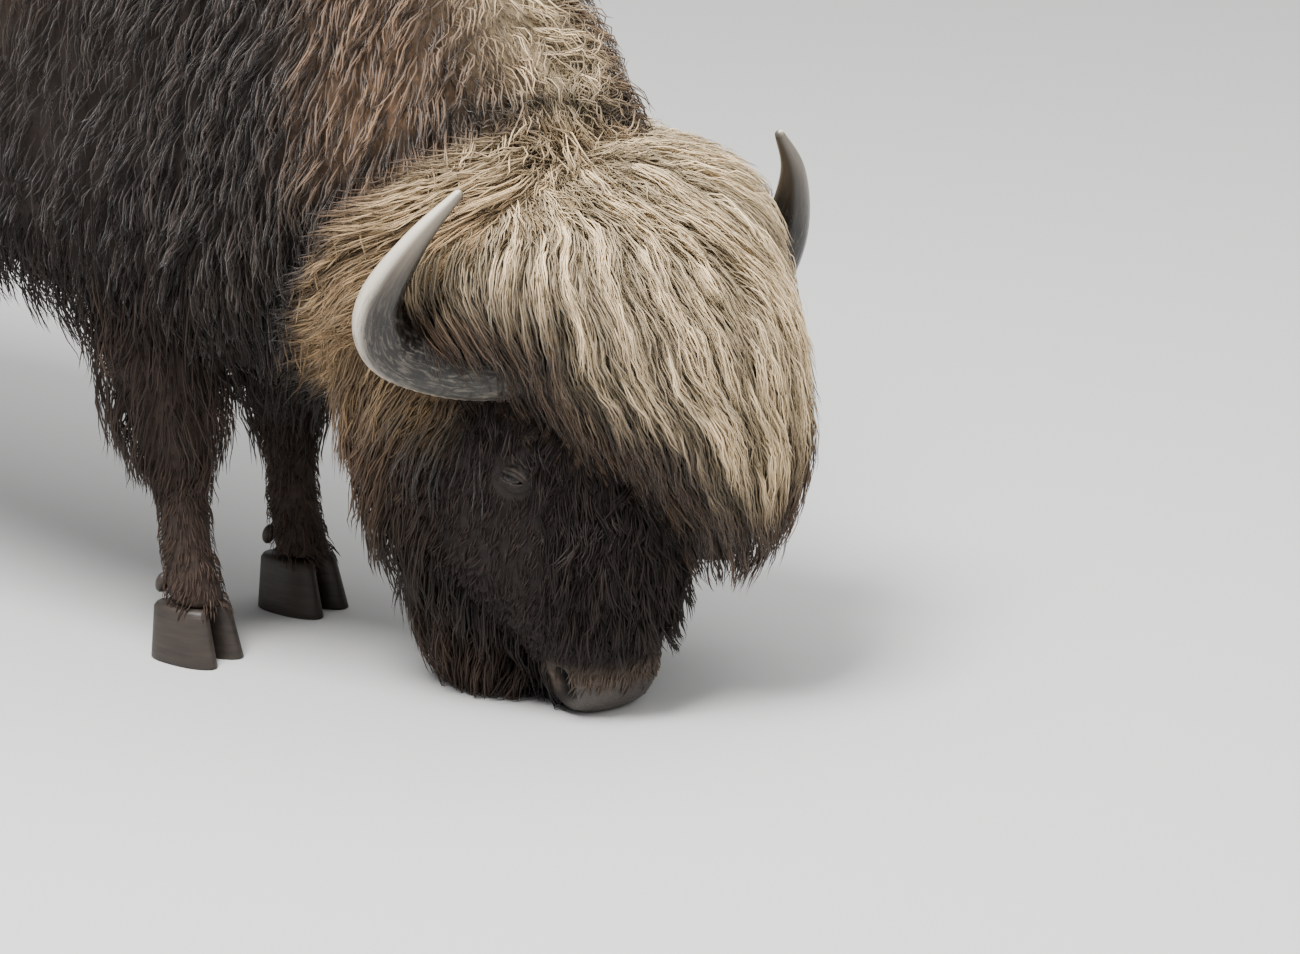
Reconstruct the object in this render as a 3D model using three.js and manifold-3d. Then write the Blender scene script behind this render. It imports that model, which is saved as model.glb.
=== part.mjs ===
// An American bison bull, grazing: its muzzle is on the ground and its fore feet are nearly side by side.
// Millimetres, +Z up. The animal faces -Y, and its left side is +X.
// The design frame has its origin on the ground midway between the fore feet; the whole model is
// moved at the end so that the middle of its box's underside is the origin.
import * as THREE from "three";
import { mergeVertices } from "three/addons/utils/BufferGeometryUtils.js";
import Module from "manifold-3d";

const wasm = await Module();
wasm.setup();

// ---- driving dimensions ------------------------------------------------------------------
const HUMP_HEIGHT = 1700; // ground to the top of the hump, coat included
const HIP_HEIGHT = 1370; // ground to the top of the croup
const WHEELBASE = 1220; // fore feet to hind feet
const FORE_TRACK = 248; // between the middles of the fore feet
const HIND_TRACK = 270; // between the middles of the hind feet
const STAGGER = 10; // how far each fore foot stands before or behind the other, halved
const HIND_STAGGER = 30; // the same for the hind feet, the other way round
const HEAD_PLACE = new THREE.Vector3(60, -584, 500); // midway between the horns' roots
const HEAD_TURN = THREE.MathUtils.degToRad(-17); // the head looks a little to its own right
const GAP = 0.4; // clear space left between neighbouring solids
const FAR = 3000; // beyond every part of the model
const HOOF_HEIGHT = 80;
const RING_SIDES = 24; // points round each section of the body and head
const LEG_SIDES = 14; // points round each section of a leg
const HOOF_SIDES = 16; // points round a hoof

// ---- colours of the coat and horn ----------------------------------------------------------
const COAT = {
  mop: 0xa88a62,
  cape: 0x84623f,
  flank: 0x5c4029,
  dark: 0x2b1e16,
  horn: 0x5a5148,
  hoof: 0x1f1a17,
  eye: 0x120c09,
};

// ---- solids --------------------------------------------------------------------------------

/** Turns a closed three.js geometry into a manifold solid. */
function solidOf(geometry) {
  const bare = geometry.clone();
  bare.deleteAttribute("normal");
  bare.deleteAttribute("uv");
  const merged = mergeVertices(bare, 1e-3);
  return new wasm.Manifold(
    new wasm.Mesh({
      numProp: 3,
      vertProperties: Float32Array.from(merged.attributes.position.array),
      triVerts: Uint32Array.from(merged.index.array),
    }),
  );
}

/** The largest separate piece of a solid. */
function largest(solid) {
  const pieces = solid.decompose();
  return pieces.reduce((best, piece) => (piece.volume() > best.volume() ? piece : best));
}

/** Turns a manifold solid back into a named three.js mesh with its own material. */
function meshOf(name, solid, color, roughness = 0.95) {
  const { vertProperties, triVerts } = largest(solid).getMesh();
  const geometry = new THREE.BufferGeometry();
  geometry.setAttribute("position", new THREE.BufferAttribute(vertProperties, 3));
  geometry.setIndex(new THREE.BufferAttribute(triVerts, 1));
  geometry.computeVertexNormals();
  const material = new THREE.MeshStandardMaterial({ color, roughness, metalness: 0 });
  const mesh = new THREE.Mesh(geometry, material);
  mesh.name = name;
  return mesh;
}

/** Joins rings of equal size into a closed skin, with a fan on each end. */
function skinRings(rings) {
  const sides = rings[0].length;
  const positions = [];
  const index = [];
  rings.flat().forEach((point) => positions.push(point.x, point.y, point.z));
  for (let row = 0; row + 1 < rings.length; row += 1) {
    for (let side = 0; side < sides; side += 1) {
      const next = (side + 1) % sides;
      const [a, b] = [row * sides + side, row * sides + next];
      const [c, d] = [a + sides, b + sides];
      index.push(a, b, d, a, d, c);
    }
  }
  const addCap = (row, turned) => {
    const middle = new THREE.Vector3();
    rings[row].forEach((point) => middle.addScaledVector(point, 1 / sides));
    const hub = positions.length / 3;
    positions.push(middle.x, middle.y, middle.z);
    for (let side = 0; side < sides; side += 1) {
      const [a, b] = [row * sides + side, row * sides + ((side + 1) % sides)];
      index.push(hub, ...(turned ? [b, a] : [a, b]));
    }
  };
  addCap(0, true);
  addCap(rings.length - 1, false);
  const geometry = new THREE.BufferGeometry();
  geometry.setAttribute("position", new THREE.Float32BufferAttribute(positions, 3));
  geometry.setIndex(index);
  const solid = solidOf(geometry);
  if (solid.volume() > 0) return solid;
  const flipped = geometry.clone();
  flipped.setIndex(index.map((_, at) => index[at - (at % 3) + [0, 2, 1][at % 3]]));
  return solidOf(flipped);
}

/** A closed section in a plane: two half superellipses that share their widest line. */
function section({ at, side, front, half, ahead, behind, roundAhead, roundBehind, grow, points = RING_SIDES }) {
  const ring = [];
  for (let step = 0; step < points; step += 1) {
    const angle = (2 * Math.PI * step) / points;
    const [along, across] = [Math.sin(angle), Math.cos(angle)];
    const power = 2 / (along >= 0 ? roundAhead : roundBehind);
    const depth = (along >= 0 ? ahead : behind) + grow;
    const point = at.clone();
    point.addScaledVector(side, (half + grow) * Math.sign(across) * Math.abs(across) ** power);
    point.addScaledVector(front, depth * Math.sign(along) * Math.abs(along) ** power);
    ring.push(point);
  }
  return ring;
}

/** Numbers between the rows of a table, on a smooth curve through them. */
function smoothRows(rows, steps) {
  const width = rows[0].length;
  const out = [];
  for (let row = 0; row + 1 < rows.length; row += 1) {
    const before = rows[Math.max(row - 1, 0)];
    const after = rows[Math.min(row + 2, rows.length - 1)];
    for (let step = 0; step < steps; step += 1) {
      const t = step / steps;
      const values = [];
      for (let column = 0; column < width; column += 1) {
        const [p0, p1, p2, p3] = [before, rows[row], rows[row + 1], after].map((r) => r[column]);
        const bend = (2 * p0 - 5 * p1 + 4 * p2 - p3) * t * t + (3 * p1 - p0 - 3 * p2 + p3) * t ** 3;
        values.push(0.5 * (2 * p1 + (p2 - p0) * t + bend));
      }
      out.push(values);
    }
  }
  out.push(rows[rows.length - 1]);
  return out;
}

const LEFT = new THREE.Vector3(1, 0, 0);
const UP = new THREE.Vector3(0, 0, 1);
const AHEAD = new THREE.Vector3(0, -1, 0);

// ---- trunk and neck ------------------------------------------------------------------------
// Sections from the rump forward over the hump and down the neck to the back of the head. Each lies
// in the plane through a point of the back line and a point of the belly line.
// Each row: y and z on the back, y and z on the belly, x of the middle, half width,
// share of the way up to the widest line, roundness above, roundness below.
const BODY = [
  [1452, 1090, 1442, 870, 0, 100, 0.45, 2.0, 2.0],
  [1395, 1215, 1388, 770, 0, 200, 0.43, 2.0, 2.0],
  [1270, 1325, 1262, 728, 0, 260, 0.4, 2.1, 2.1],
  [1080, HIP_HEIGHT, 1080, 688, 0, 300, 0.4, 2.1, 2.1],
  [860, 1394, 860, 625, 0, 332, 0.42, 2.0, 2.2],
  [640, 1462, 640, 564, 0, 350, 0.43, 1.95, 2.2],
  [430, 1575, 430, 505, 0, 358, 0.42, 1.85, 2.3],
  [250, HUMP_HEIGHT - 33, 240, 440, 0, 366, 0.43, 1.8, 2.4],
  [95, HUMP_HEIGHT - 5, 75, 385, 0, 362, 0.44, 1.8, 2.3],
  [-50, 1625, -85, 362, 0, 344, 0.46, 1.8, 2.2],
  [-180, 1480, -185, 380, 0, 325, 0.48, 1.8, 2.1],
  [-300, 1290, -235, 396, 4, 308, 0.5, 1.85, 2.0],
  [-412, 1112, -265, 410, 14, 298, 0.51, 1.9, 1.9],
  [-505, 952, -288, 422, 30, 290, 0.52, 2.0, 1.8],
  [-570, 825, -305, 434, 46, 268, 0.52, 2.0, 1.8],
  [-606, 715, -318, 446, 58, 230, 0.52, 2.0, 1.8],
];
const RINGS_PER_ROW = 2;
const NECK_BACK = -125; // y of the cut between the neck and the shoulders
const SHOULDER_BACK = 485; // where the shaggy forequarters end
const FLANK_BACK = 915; // where the hindquarters begin

function bodySolid(grow) {
  const rows = smoothRows(BODY, RINGS_PER_ROW);
  const rings = rows.map(
    ([topY, topZ, lowY, lowZ, x, half, widest, roundAhead, roundBehind], row) => {
      const low = new THREE.Vector3(x, lowY, lowZ);
      const span = new THREE.Vector3(x, topY, topZ).sub(low);
      const front = span.clone().normalize();
      const onward = new THREE.Vector3().crossVectors(LEFT, front);
      const reach = row === 0 ? -grow : row === rows.length - 1 ? grow : 0;
      return section({
        at: low.clone().addScaledVector(span, widest).addScaledVector(onward, reach),
        side: LEFT,
        front,
        half,
        ahead: span.length() * (1 - widest),
        behind: span.length() * widest,
        roundAhead,
        roundBehind,
        grow,
      });
    },
  );
  return skinRings(rings);
}

// ---- head ----------------------------------------------------------------------------------
// Level sections, measured from the point midway between the horns' roots.
// Each row: height, x of the middle, place of the widest line, half width, front, back,
// roundness in front, roundness behind. Front and back are distances ahead of that point.
const HEAD = [
  [-500, 0, 0, 44, 26, -36, 2.2, 2.2],
  [-478, 0, 0, 68, 46, -60, 2.4, 2.2],
  [-440, 0, -12, 80, 60, -100, 2.4, 2.2],
  [-400, 0, -60, 106, 72, -170, 2.0, 2.2],
  [-350, 0, -130, 172, 92, -262, 1.8, 2.1],
  [-280, 0, -170, 236, 106, -300, 1.7, 2.1],
  [-200, 0, -180, 268, 104, -312, 1.65, 2.1],
  [-120, 0, -185, 288, 94, -318, 1.62, 2.1],
  [-40, 0, -190, 300, 84, -322, 1.6, 2.1],
  [50, 0, -200, 310, 70, -325, 1.6, 2.1],
  [130, 0, -195, 288, 40, -305, 1.7, 2.0],
  [200, 0, -190, 230, -30, -280, 1.9, 2.0],
  [240, 0, -190, 120, -110, -250, 2.0, 2.0],
];
// The crown hair, in the same form. It hangs lower on the animal's left.
const MOP = [
  [-300, 125, 80, 38, 118, 50, 2.0, 2.0],
  [-250, 142, 76, 84, 152, 36, 2.0, 2.0],
  [-180, 142, 84, 118, 182, 46, 2.0, 2.0],
  [-110, 116, 72, 158, 202, 42, 2.0, 2.0],
  [-40, 78, -20, 222, 214, -140, 2.0, 2.0],
  [40, 52, -110, 268, 216, -210, 2.0, 2.0],
  [115, 12, -150, 320, 190, -260, 2.0, 2.0],
  [185, 0, -155, 314, 140, -260, 2.0, 2.0],
  [245, 0, -130, 218, 55, -220, 2.0, 2.0],
  [285, 0, -110, 90, -30, -160, 2.0, 2.0],
];

/** Moves a solid from the head's own frame to its place, turned to the animal's right. */
function placeHead(solid) {
  const degrees = THREE.MathUtils.radToDeg(HEAD_TURN);
  return solid.rotate([0, 0, degrees]).translate(HEAD_PLACE.toArray());
}

function levelLoft(table, grow) {
  const rings = table.map(([height, x, wide, half, front, back, roundAhead, roundBehind], row) => {
    const lift = row === 0 ? -grow : row === table.length - 1 ? grow : 0;
    return section({
      at: new THREE.Vector3(x, -wide, height + lift),
      side: LEFT,
      front: AHEAD,
      half,
      ahead: front - wide,
      behind: wide - back,
      roundAhead,
      roundBehind,
      grow,
    });
  });
  return skinRings(rings);
}

// ---- horns ---------------------------------------------------------------------------------
// Middle line of the left horn from its root: x, distance ahead, height; and the radius there.
const HORN = [
  [120, 2, 4, 41],
  [170, -4, 4, 40],
  [238, -32, 14, 39],
  [306, -50, 50, 38],
  [330, -34, 116, 30],
  [304, 12, 204, 17],
  [258, 44, 268, 7],
];
const HORN_SIDES = 12;

/** A round tube along a table of points and radii, rounded over at its tip. */
function tube(table, steps, sides, grow = 0) {
  const rows = smoothRows(table, steps);
  const points = rows.map(([x, ahead, height]) => new THREE.Vector3(x, -ahead, height));
  const rings = [];
  let across = null;
  rows.forEach(([, , , radius], row) => {
    const heading = new THREE.Vector3()
      .subVectors(points[Math.min(row + 1, rows.length - 1)], points[Math.max(row - 1, 0)])
      .normalize();
    if (across === null) {
      const start = Math.abs(heading.z) < 0.8 ? UP : LEFT;
      across = new THREE.Vector3().crossVectors(heading, start);
    }
    across.addScaledVector(heading, -across.dot(heading)).normalize();
    const other = new THREE.Vector3().crossVectors(heading, across);
    const ringAt = (reach, size) => {
      const ring = [];
      for (let step = 0; step < sides; step += 1) {
        const angle = (2 * Math.PI * step) / sides;
        ring.push(
          points[row]
            .clone()
            .addScaledVector(heading, reach)
            .addScaledVector(across, size * Math.cos(angle))
            .addScaledVector(other, size * Math.sin(angle)),
        );
      }
      return ring;
    };
    rings.push(ringAt(row === 0 ? -grow : 0, radius + grow));
    if (row === rows.length - 1) {
      rings.push(ringAt((radius + grow) * 0.7, (radius + grow) * 0.7));
    }
  });
  return skinRings(rings);
}

/** The same solid on the animal's other side. */
function mirrored(solid) {
  return solid.mirror([1, 0, 0]);
}

// ---- ears and eyes -------------------------------------------------------------------------
const EAR_ROOT = new THREE.Vector3(222, 140, 28);
const EAR_LENGTH = 140;
const EAR_HALF_WIDTH = 36;
const EAR_SIDES = 10;
const EAR_RINGS = 6;
const EAR_HALF_THICKNESS = 13;
const EAR_LIFT = -8; // degrees, below zero is upward
const EAR_SWEEP = 32; // degrees back from straight out
const EYE_CENTRE = new THREE.Vector3(152, -16, -139);
const EYE_RADIUS = 21;
const EYE_SIDES = 12;
const EYE_RINGS = 8;

/** A leaf-shaped ear, pointing out and back. */
function earSolid(grow) {
  const shape = new THREE.SphereGeometry(1, EAR_SIDES, EAR_RINGS);
  shape.rotateZ(Math.PI / 2);
  shape.scale(EAR_LENGTH / 2 + grow, EAR_HALF_THICKNESS + grow, EAR_HALF_WIDTH + grow);
  shape.translate(EAR_LENGTH / 2, 0, 0);
  shape.rotateY(THREE.MathUtils.degToRad(EAR_LIFT));
  shape.rotateZ(THREE.MathUtils.degToRad(EAR_SWEEP));
  shape.translate(...EAR_ROOT.toArray());
  return solidOf(shape);
}

function eyeSolid(grow) {
  const ball = new THREE.SphereGeometry(EYE_RADIUS + grow, EYE_SIDES, EYE_RINGS);
  ball.translate(...EYE_CENTRE.toArray());
  return solidOf(ball);
}

// ---- legs ----------------------------------------------------------------------------------
// Level sections up a left leg. Each row: height, x and y from the foot's place, half width,
// half depth ahead, half depth behind.
const FORELEG = [
  [HOOF_HEIGHT, 0, -6, 43, 52, 44],
  [110, 0, 0, 39, 45, 43],
  [160, 0, 8, 36, 39, 42],
  [225, 0, 12, 38, 39, 43],
  [275, 2, 14, 60, 60, 76],
  [325, 6, 16, 84, 84, 108],
  [400, 12, 20, 100, 104, 134],
  [520, 20, 26, 112, 122, 156],
  [680, 30, 40, 118, 150, 190],
  [800, 30, 60, 120, 150, 190],
];
const HINDLEG = [
  [HOOF_HEIGHT, 0, -6, 41, 51, 43],
  [105, 0, 0, 39, 46, 44],
  [150, 0, 10, 37, 40, 44],
  [230, 0, 26, 37, 40, 43],
  [360, 0, 44, 41, 46, 50],
  [440, 0, 50, 51, 58, 64],
  [500, 2, 38, 58, 74, 74],
  [570, 8, 12, 78, 112, 100],
  [640, 14, -26, 98, 168, 142],
  [720, 20, -60, 120, 220, 186],
  [820, 24, -70, 132, 246, 222],
  [920, 20, -80, 130, 240, 230],
];
const LOWER_LEG_TOP = 380; // the cut at the knee
const LOWER_HIND_TOP = 470; // the cut at the hock

function legSolid(table, footX, footY, grow) {
  const rings = table.map(([height, x, y, half, ahead, behind], row) => {
    const lift = row === 0 ? -grow : row === table.length - 1 ? grow : 0;
    return section({
      at: new THREE.Vector3(footX + x, footY + y, height + lift),
      side: LEFT,
      front: AHEAD,
      half,
      ahead,
      behind,
      roundAhead: 2,
      roundBehind: 2,
      grow,
      points: LEG_SIDES,
    });
  });
  return skinRings(rings);
}

/** A box that takes everything between two heights. */
function slab(low, high) {
  const box = new THREE.BoxGeometry(2 * FAR, 2 * FAR, high - low);
  box.translate(0, 0, (low + high) / 2);
  return solidOf(box);
}

/** A box that takes everything between two places along the animal. */
function slice(from, to) {
  const box = new THREE.BoxGeometry(2 * FAR, to - from, 2 * FAR);
  box.translate(0, (from + to) / 2, 0);
  return solidOf(box);
}

const HOOF_LENGTH = 122;
const HOOF_WIDTH = 104;
const CLEFT_WIDTH = 7;

/** A cloven hoof: flat sole, sloping wall, and a cleft from the toe back between the claws. */
function hoofSolid(footX, footY) {
  const levels = [
    [0, 1.0, 0],
    [HOOF_HEIGHT * 0.3, 0.98, -2],
    [HOOF_HEIGHT - GAP, 0.8, 8],
  ];
  const rings = levels.map(([height, size, shift]) =>
    section({
      at: new THREE.Vector3(footX, footY + shift - 4, height),
      side: LEFT,
      front: AHEAD,
      half: (HOOF_WIDTH / 2) * size,
      ahead: (HOOF_LENGTH / 2) * size,
      behind: (HOOF_LENGTH / 2) * size * 0.86,
      roundAhead: 2.3,
      roundBehind: 2.8,
      grow: 0,
      points: HOOF_SIDES,
    }),
  );
  const cleft = new THREE.BoxGeometry(CLEFT_WIDTH, HOOF_LENGTH, HOOF_HEIGHT * 0.7);
  cleft.translate(footX, footY - HOOF_LENGTH * 0.28, HOOF_HEIGHT * 0.34);
  return skinRings(rings).subtract(solidOf(cleft));
}

// ---- tail and beard ------------------------------------------------------------------------
const TAIL_SIDES = 8;
// Rows of tube(): x, distance ahead, height, radius.
const TAIL = [
  [0, -1330, 1240, 46],
  [0, -1402, 1200, 42],
  [0, -1456, 1120, 33],
  [0, -1482, 1020, 26],
  [0, -1486, 915, 22],
  [0, -1482, 828, 22],
];
const TUFT = [
  [0, -1482, 810, 22],
  [0, -1480, 740, 38],
  [0, -1476, 660, 42],
  [0, -1472, 580, 30],
  [0, -1470, 520, 10],
];
// Rows as in HEAD: the beard hangs from the chin and jaw to just over the ground.
const BEARD = [
  [-494, 0, -160, 118, -48, -262, 2.0, 2.0],
  [-465, 0, -172, 148, -40, -284, 2.0, 2.0],
  [-410, 0, -184, 176, -60, -300, 2.0, 2.0],
  [-340, 0, -192, 194, -80, -308, 2.0, 2.0],
  [-270, 0, -190, 190, -110, -308, 2.0, 2.0],
];

// ---- assembly ------------------------------------------------------------------------------
const group = new THREE.Group();
const parts = [];
const addPart = (name, solid, color, roughness) => parts.push(meshOf(name, solid, color, roughness));

const head = placeHead(levelLoft(HEAD, 0));
const headGrown = placeHead(levelLoft(HEAD, GAP));
const body = bodySolid(0);
const bodyGrown = bodySolid(GAP);
const hornShape = tube(HORN, 3, HORN_SIDES);
const hornShapeGrown = tube(HORN, 3, HORN_SIDES, GAP);
const sides = [
  { word: "left", sign: 1, flip: (solid) => solid },
  { word: "right", sign: -1, flip: mirrored },
];

const horns = sides.map(({ flip }) => placeHead(flip(hornShape)));
const hornsGrown = sides.map(({ flip }) => placeHead(flip(hornShapeGrown)));
const ears = sides.map(({ flip }) => placeHead(flip(earSolid(0))));
const earsGrown = sides.map(({ flip }) => placeHead(flip(earSolid(GAP))));
const eyes = sides.map(({ flip }) => placeHead(flip(eyeSolid(0))));
const eyesGrown = sides.map(({ flip }) => placeHead(flip(eyeSolid(GAP))));

const cutFrom = (solid, others) => others.reduce((left, other) => left.subtract(other), solid);

addPart("head", cutFrom(head, [...hornsGrown, ...eyesGrown, ...earsGrown]), COAT.dark);
const crown = placeHead(levelLoft(MOP, 0));
addPart("mop", cutFrom(crown, [headGrown, bodyGrown, ...hornsGrown, ...earsGrown]), COAT.mop);
const beard = placeHead(levelLoft(BEARD, 0));
addPart("beard", cutFrom(beard, [headGrown, bodyGrown]), COAT.dark);
const bodyCut = cutFrom(body, [headGrown, ...earsGrown]);
addPart("neck", bodyCut.intersect(slice(-FAR, NECK_BACK)), COAT.cape);
addPart("shoulders", body.intersect(slice(NECK_BACK + GAP, SHOULDER_BACK)), COAT.cape);
addPart("barrel", body.intersect(slice(SHOULDER_BACK + GAP, FLANK_BACK)), COAT.flank);
addPart("hindquarters", body.intersect(slice(FLANK_BACK + GAP, FAR)), COAT.flank);
sides.forEach(({ word }, at) => {
  addPart(`horn_${word}`, horns[at], COAT.horn, 0.45);
  addPart(`ear_${word}`, cutFrom(ears[at], [hornsGrown[at]]), COAT.dark);
  addPart(`eye_${word}`, eyes[at], COAT.eye, 0.08);
});

const legs = sides.flatMap(({ word, sign }) => [
  { end: "fore", word, sign, table: FORELEG, track: FORE_TRACK, footY: sign * STAGGER, cut: LOWER_LEG_TOP },
  {
    end: "hind",
    word,
    sign,
    table: HINDLEG,
    track: HIND_TRACK,
    footY: WHEELBASE - sign * HIND_STAGGER,
    cut: LOWER_HIND_TOP,
  },
]);
legs.forEach(({ end, word, sign, table, track, footY, cut }) => {
  const footX = (sign * track) / 2;
  const turnedOut = table.map(([height, x, ...rest]) => [height, sign * x, ...rest]);
  const leg = cutFrom(legSolid(turnedOut, footX, footY, 0), [bodyGrown]);
  addPart(`${end}leg_${word}_upper`, leg.intersect(slab(cut + GAP, FAR)), COAT.dark);
  addPart(`${end}leg_${word}_lower`, leg.intersect(slab(0, cut)), COAT.dark);
  addPart(`hoof_${end}_${word}`, hoofSolid(footX, footY), COAT.hoof, 0.6);
});

addPart("tail", cutFrom(tube(TAIL, 1, TAIL_SIDES), [bodyGrown]), COAT.flank);
addPart("tail_tuft", tube(TUFT, 1, TAIL_SIDES), COAT.dark);

// The middle of the box's underside becomes the origin.
const box = new THREE.Box3();
parts.forEach((part) => box.union(new THREE.Box3().setFromObject(part)));
const middle = box.getCenter(new THREE.Vector3());
group.position.set(-middle.x, -middle.y, -box.min.z);
parts.forEach((part) => group.add(part));

export default group;
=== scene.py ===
"""An American bison bull at graze, life size: skin, coat, horns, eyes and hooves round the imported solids.

Lengths in the tables are millimetres in the animal's own frame: origin on the ground midway between
the fore feet, the animal faces -Y, its left side is +X. placed() turns them to metres in the row's frame.
"""

import math

import bmesh
import bpy
import numpy as np
from mathutils import Matrix, Vector


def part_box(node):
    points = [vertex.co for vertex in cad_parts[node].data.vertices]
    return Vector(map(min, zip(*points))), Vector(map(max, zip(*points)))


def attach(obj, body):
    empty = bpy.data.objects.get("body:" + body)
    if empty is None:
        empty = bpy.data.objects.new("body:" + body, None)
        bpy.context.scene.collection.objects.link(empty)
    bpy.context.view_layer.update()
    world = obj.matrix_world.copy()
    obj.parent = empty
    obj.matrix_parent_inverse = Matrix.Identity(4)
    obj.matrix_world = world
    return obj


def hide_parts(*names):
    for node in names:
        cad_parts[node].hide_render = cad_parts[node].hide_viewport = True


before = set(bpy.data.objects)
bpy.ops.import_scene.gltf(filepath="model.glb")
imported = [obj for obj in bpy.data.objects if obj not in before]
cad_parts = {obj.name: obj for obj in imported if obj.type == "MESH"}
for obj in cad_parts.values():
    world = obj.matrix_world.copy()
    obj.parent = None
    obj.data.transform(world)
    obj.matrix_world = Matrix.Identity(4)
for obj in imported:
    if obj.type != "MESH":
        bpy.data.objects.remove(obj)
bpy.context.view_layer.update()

MM = 0.001
RNG = np.random.default_rng(20)
GOLDEN = (math.sqrt(5) - 1) / 2
LEFT, AHEAD = np.array([1.0, 0, 0]), np.array([0, -1.0, 0])
SIDES = ((1, "left"), (-1, "right"))
BLOCK = 4096  # points that are searched for at once, to keep the distance tables small

# ---- where the animal's own frame lies -------------------------------------------------------
TOE_REACH = 65 * MM  # a fore hoof's front edge ahead of the foot's middle
left_low, left_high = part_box("hoof_fore_left")
right_low, right_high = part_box("hoof_fore_right")
FEET = np.array([(left_low.x + right_high.x) / 2, (left_low.y + right_low.y) / 2 + TOE_REACH, 0.0])

HEAD_PLACE = np.array([60, -584, 500]) * MM  # midway between the horns' roots
HEAD_TURN = math.radians(-17)  # the head looks a little to its own right
TURN = np.array(
    [
        [math.cos(HEAD_TURN), -math.sin(HEAD_TURN), 0],
        [math.sin(HEAD_TURN), math.cos(HEAD_TURN), 0],
        [0, 0, 1],
    ]
)


def placed(points):
    """Animal's frame in metres to the row's frame."""
    return points + FEET


def from_head(points):
    """Head frame (left, behind, height) in metres to the row's frame: turned about the upright and moved."""
    return placed(points @ TURN.T + HEAD_PLACE)


def to_head(points):
    """The reverse of from_head."""
    return (points - FEET - HEAD_PLACE) @ TURN


def half_head(points):
    """Distance from the head's midline, and behind and height in the head's frame."""
    local = to_head(points)
    return np.abs(local[..., 0]), local[..., 1], local[..., 2]


def in_animal(points):
    """x, y and z in the animal's own frame."""
    return np.moveaxis(points - FEET, -1, 0)


# ---- tables of the outline, with the depth of the coat ----------------------------------------
# Body: y and z on the back, y and z on the belly, middle x, half width, share of the way up to the
# widest line, roundness above and below, depth of the coat.
BODY = [
    [1452, 1090, 1442, 870, 0, 100, 0.45, 2.0, 2.0, 14],
    [1395, 1215, 1388, 770, 0, 200, 0.43, 2.0, 2.0, 14],
    [1270, 1325, 1262, 728, 0, 260, 0.40, 2.1, 2.1, 14],
    [1080, 1370, 1080, 688, 0, 300, 0.40, 2.1, 2.1, 15],
    [860, 1394, 860, 625, 0, 332, 0.42, 2.0, 2.2, 16],
    [640, 1462, 640, 564, 0, 350, 0.43, 1.95, 2.2, 20],
    [430, 1575, 430, 505, 0, 358, 0.42, 1.85, 2.3, 34],
    [250, 1667, 240, 440, 0, 366, 0.43, 1.8, 2.4, 44],
    [95, 1695, 75, 385, 0, 362, 0.44, 1.8, 2.3, 46],
    [-50, 1625, -85, 362, 0, 344, 0.46, 1.8, 2.2, 46],
    [-180, 1480, -185, 380, 0, 325, 0.48, 1.8, 2.1, 44],
    [-300, 1290, -235, 396, 4, 308, 0.50, 1.85, 2.0, 42],
    [-412, 1112, -265, 410, 14, 298, 0.51, 1.9, 1.9, 40],
    [-505, 952, -288, 422, 30, 290, 0.52, 2.0, 1.8, 38],
    [-570, 825, -305, 434, 46, 268, 0.52, 2.0, 1.8, 38],
    [-606, 715, -318, 446, 58, 230, 0.52, 2.0, 1.8, 38],
]
# Level sections from the point between the horns' roots: height, middle x, how far ahead the widest
# line lies, half width, front, back (both ahead of that point), roundness in front and behind, depth.
HEAD = [
    [-500, 0, 0, 44, 26, -36, 2.2, 2.2, 3],
    [-478, 0, 0, 68, 46, -60, 2.4, 2.2, 4],
    [-440, 0, -12, 80, 60, -100, 2.4, 2.2, 5],
    [-400, 0, -60, 106, 72, -170, 2.0, 2.2, 9],
    [-350, 0, -130, 172, 92, -262, 1.8, 2.1, 14],
    [-280, 0, -170, 236, 106, -300, 1.7, 2.1, 18],
    [-200, 0, -180, 268, 104, -312, 1.65, 2.1, 20],
    [-120, 0, -185, 288, 94, -318, 1.62, 2.1, 22],
    [-40, 0, -190, 300, 84, -322, 1.6, 2.1, 30],
    [50, 0, -200, 310, 70, -325, 1.6, 2.1, 40],
    [130, 0, -195, 288, 40, -305, 1.7, 2.0, 40],
    [200, 0, -190, 230, -30, -280, 1.9, 2.0, 40],
    [240, 0, -190, 120, -110, -250, 2.0, 2.0, 40],
]
MOP = [
    [-300, 125, 80, 38, 118, 50, 2.0, 2.0, 16],
    [-250, 142, 76, 84, 152, 36, 2.0, 2.0, 20],
    [-180, 142, 84, 118, 182, 46, 2.0, 2.0, 24],
    [-110, 116, 72, 158, 202, 42, 2.0, 2.0, 28],
    [-40, 78, -20, 222, 214, -140, 2.0, 2.0, 30],
    [40, 52, -110, 268, 216, -210, 2.0, 2.0, 30],
    [115, 12, -150, 320, 190, -260, 2.0, 2.0, 30],
    [185, 0, -155, 314, 140, -260, 2.0, 2.0, 30],
    [245, 0, -130, 218, 55, -220, 2.0, 2.0, 28],
    [285, 0, -110, 90, -30, -160, 2.0, 2.0, 26],
]
BEARD = [
    [-494, 0, -160, 118, -48, -262, 2.0, 2.0, 24],
    [-465, 0, -172, 148, -40, -284, 2.0, 2.0, 28],
    [-410, 0, -184, 176, -60, -300, 2.0, 2.0, 30],
    [-340, 0, -192, 194, -80, -308, 2.0, 2.0, 30],
    [-270, 0, -190, 190, -110, -308, 2.0, 2.0, 30],
]
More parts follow.
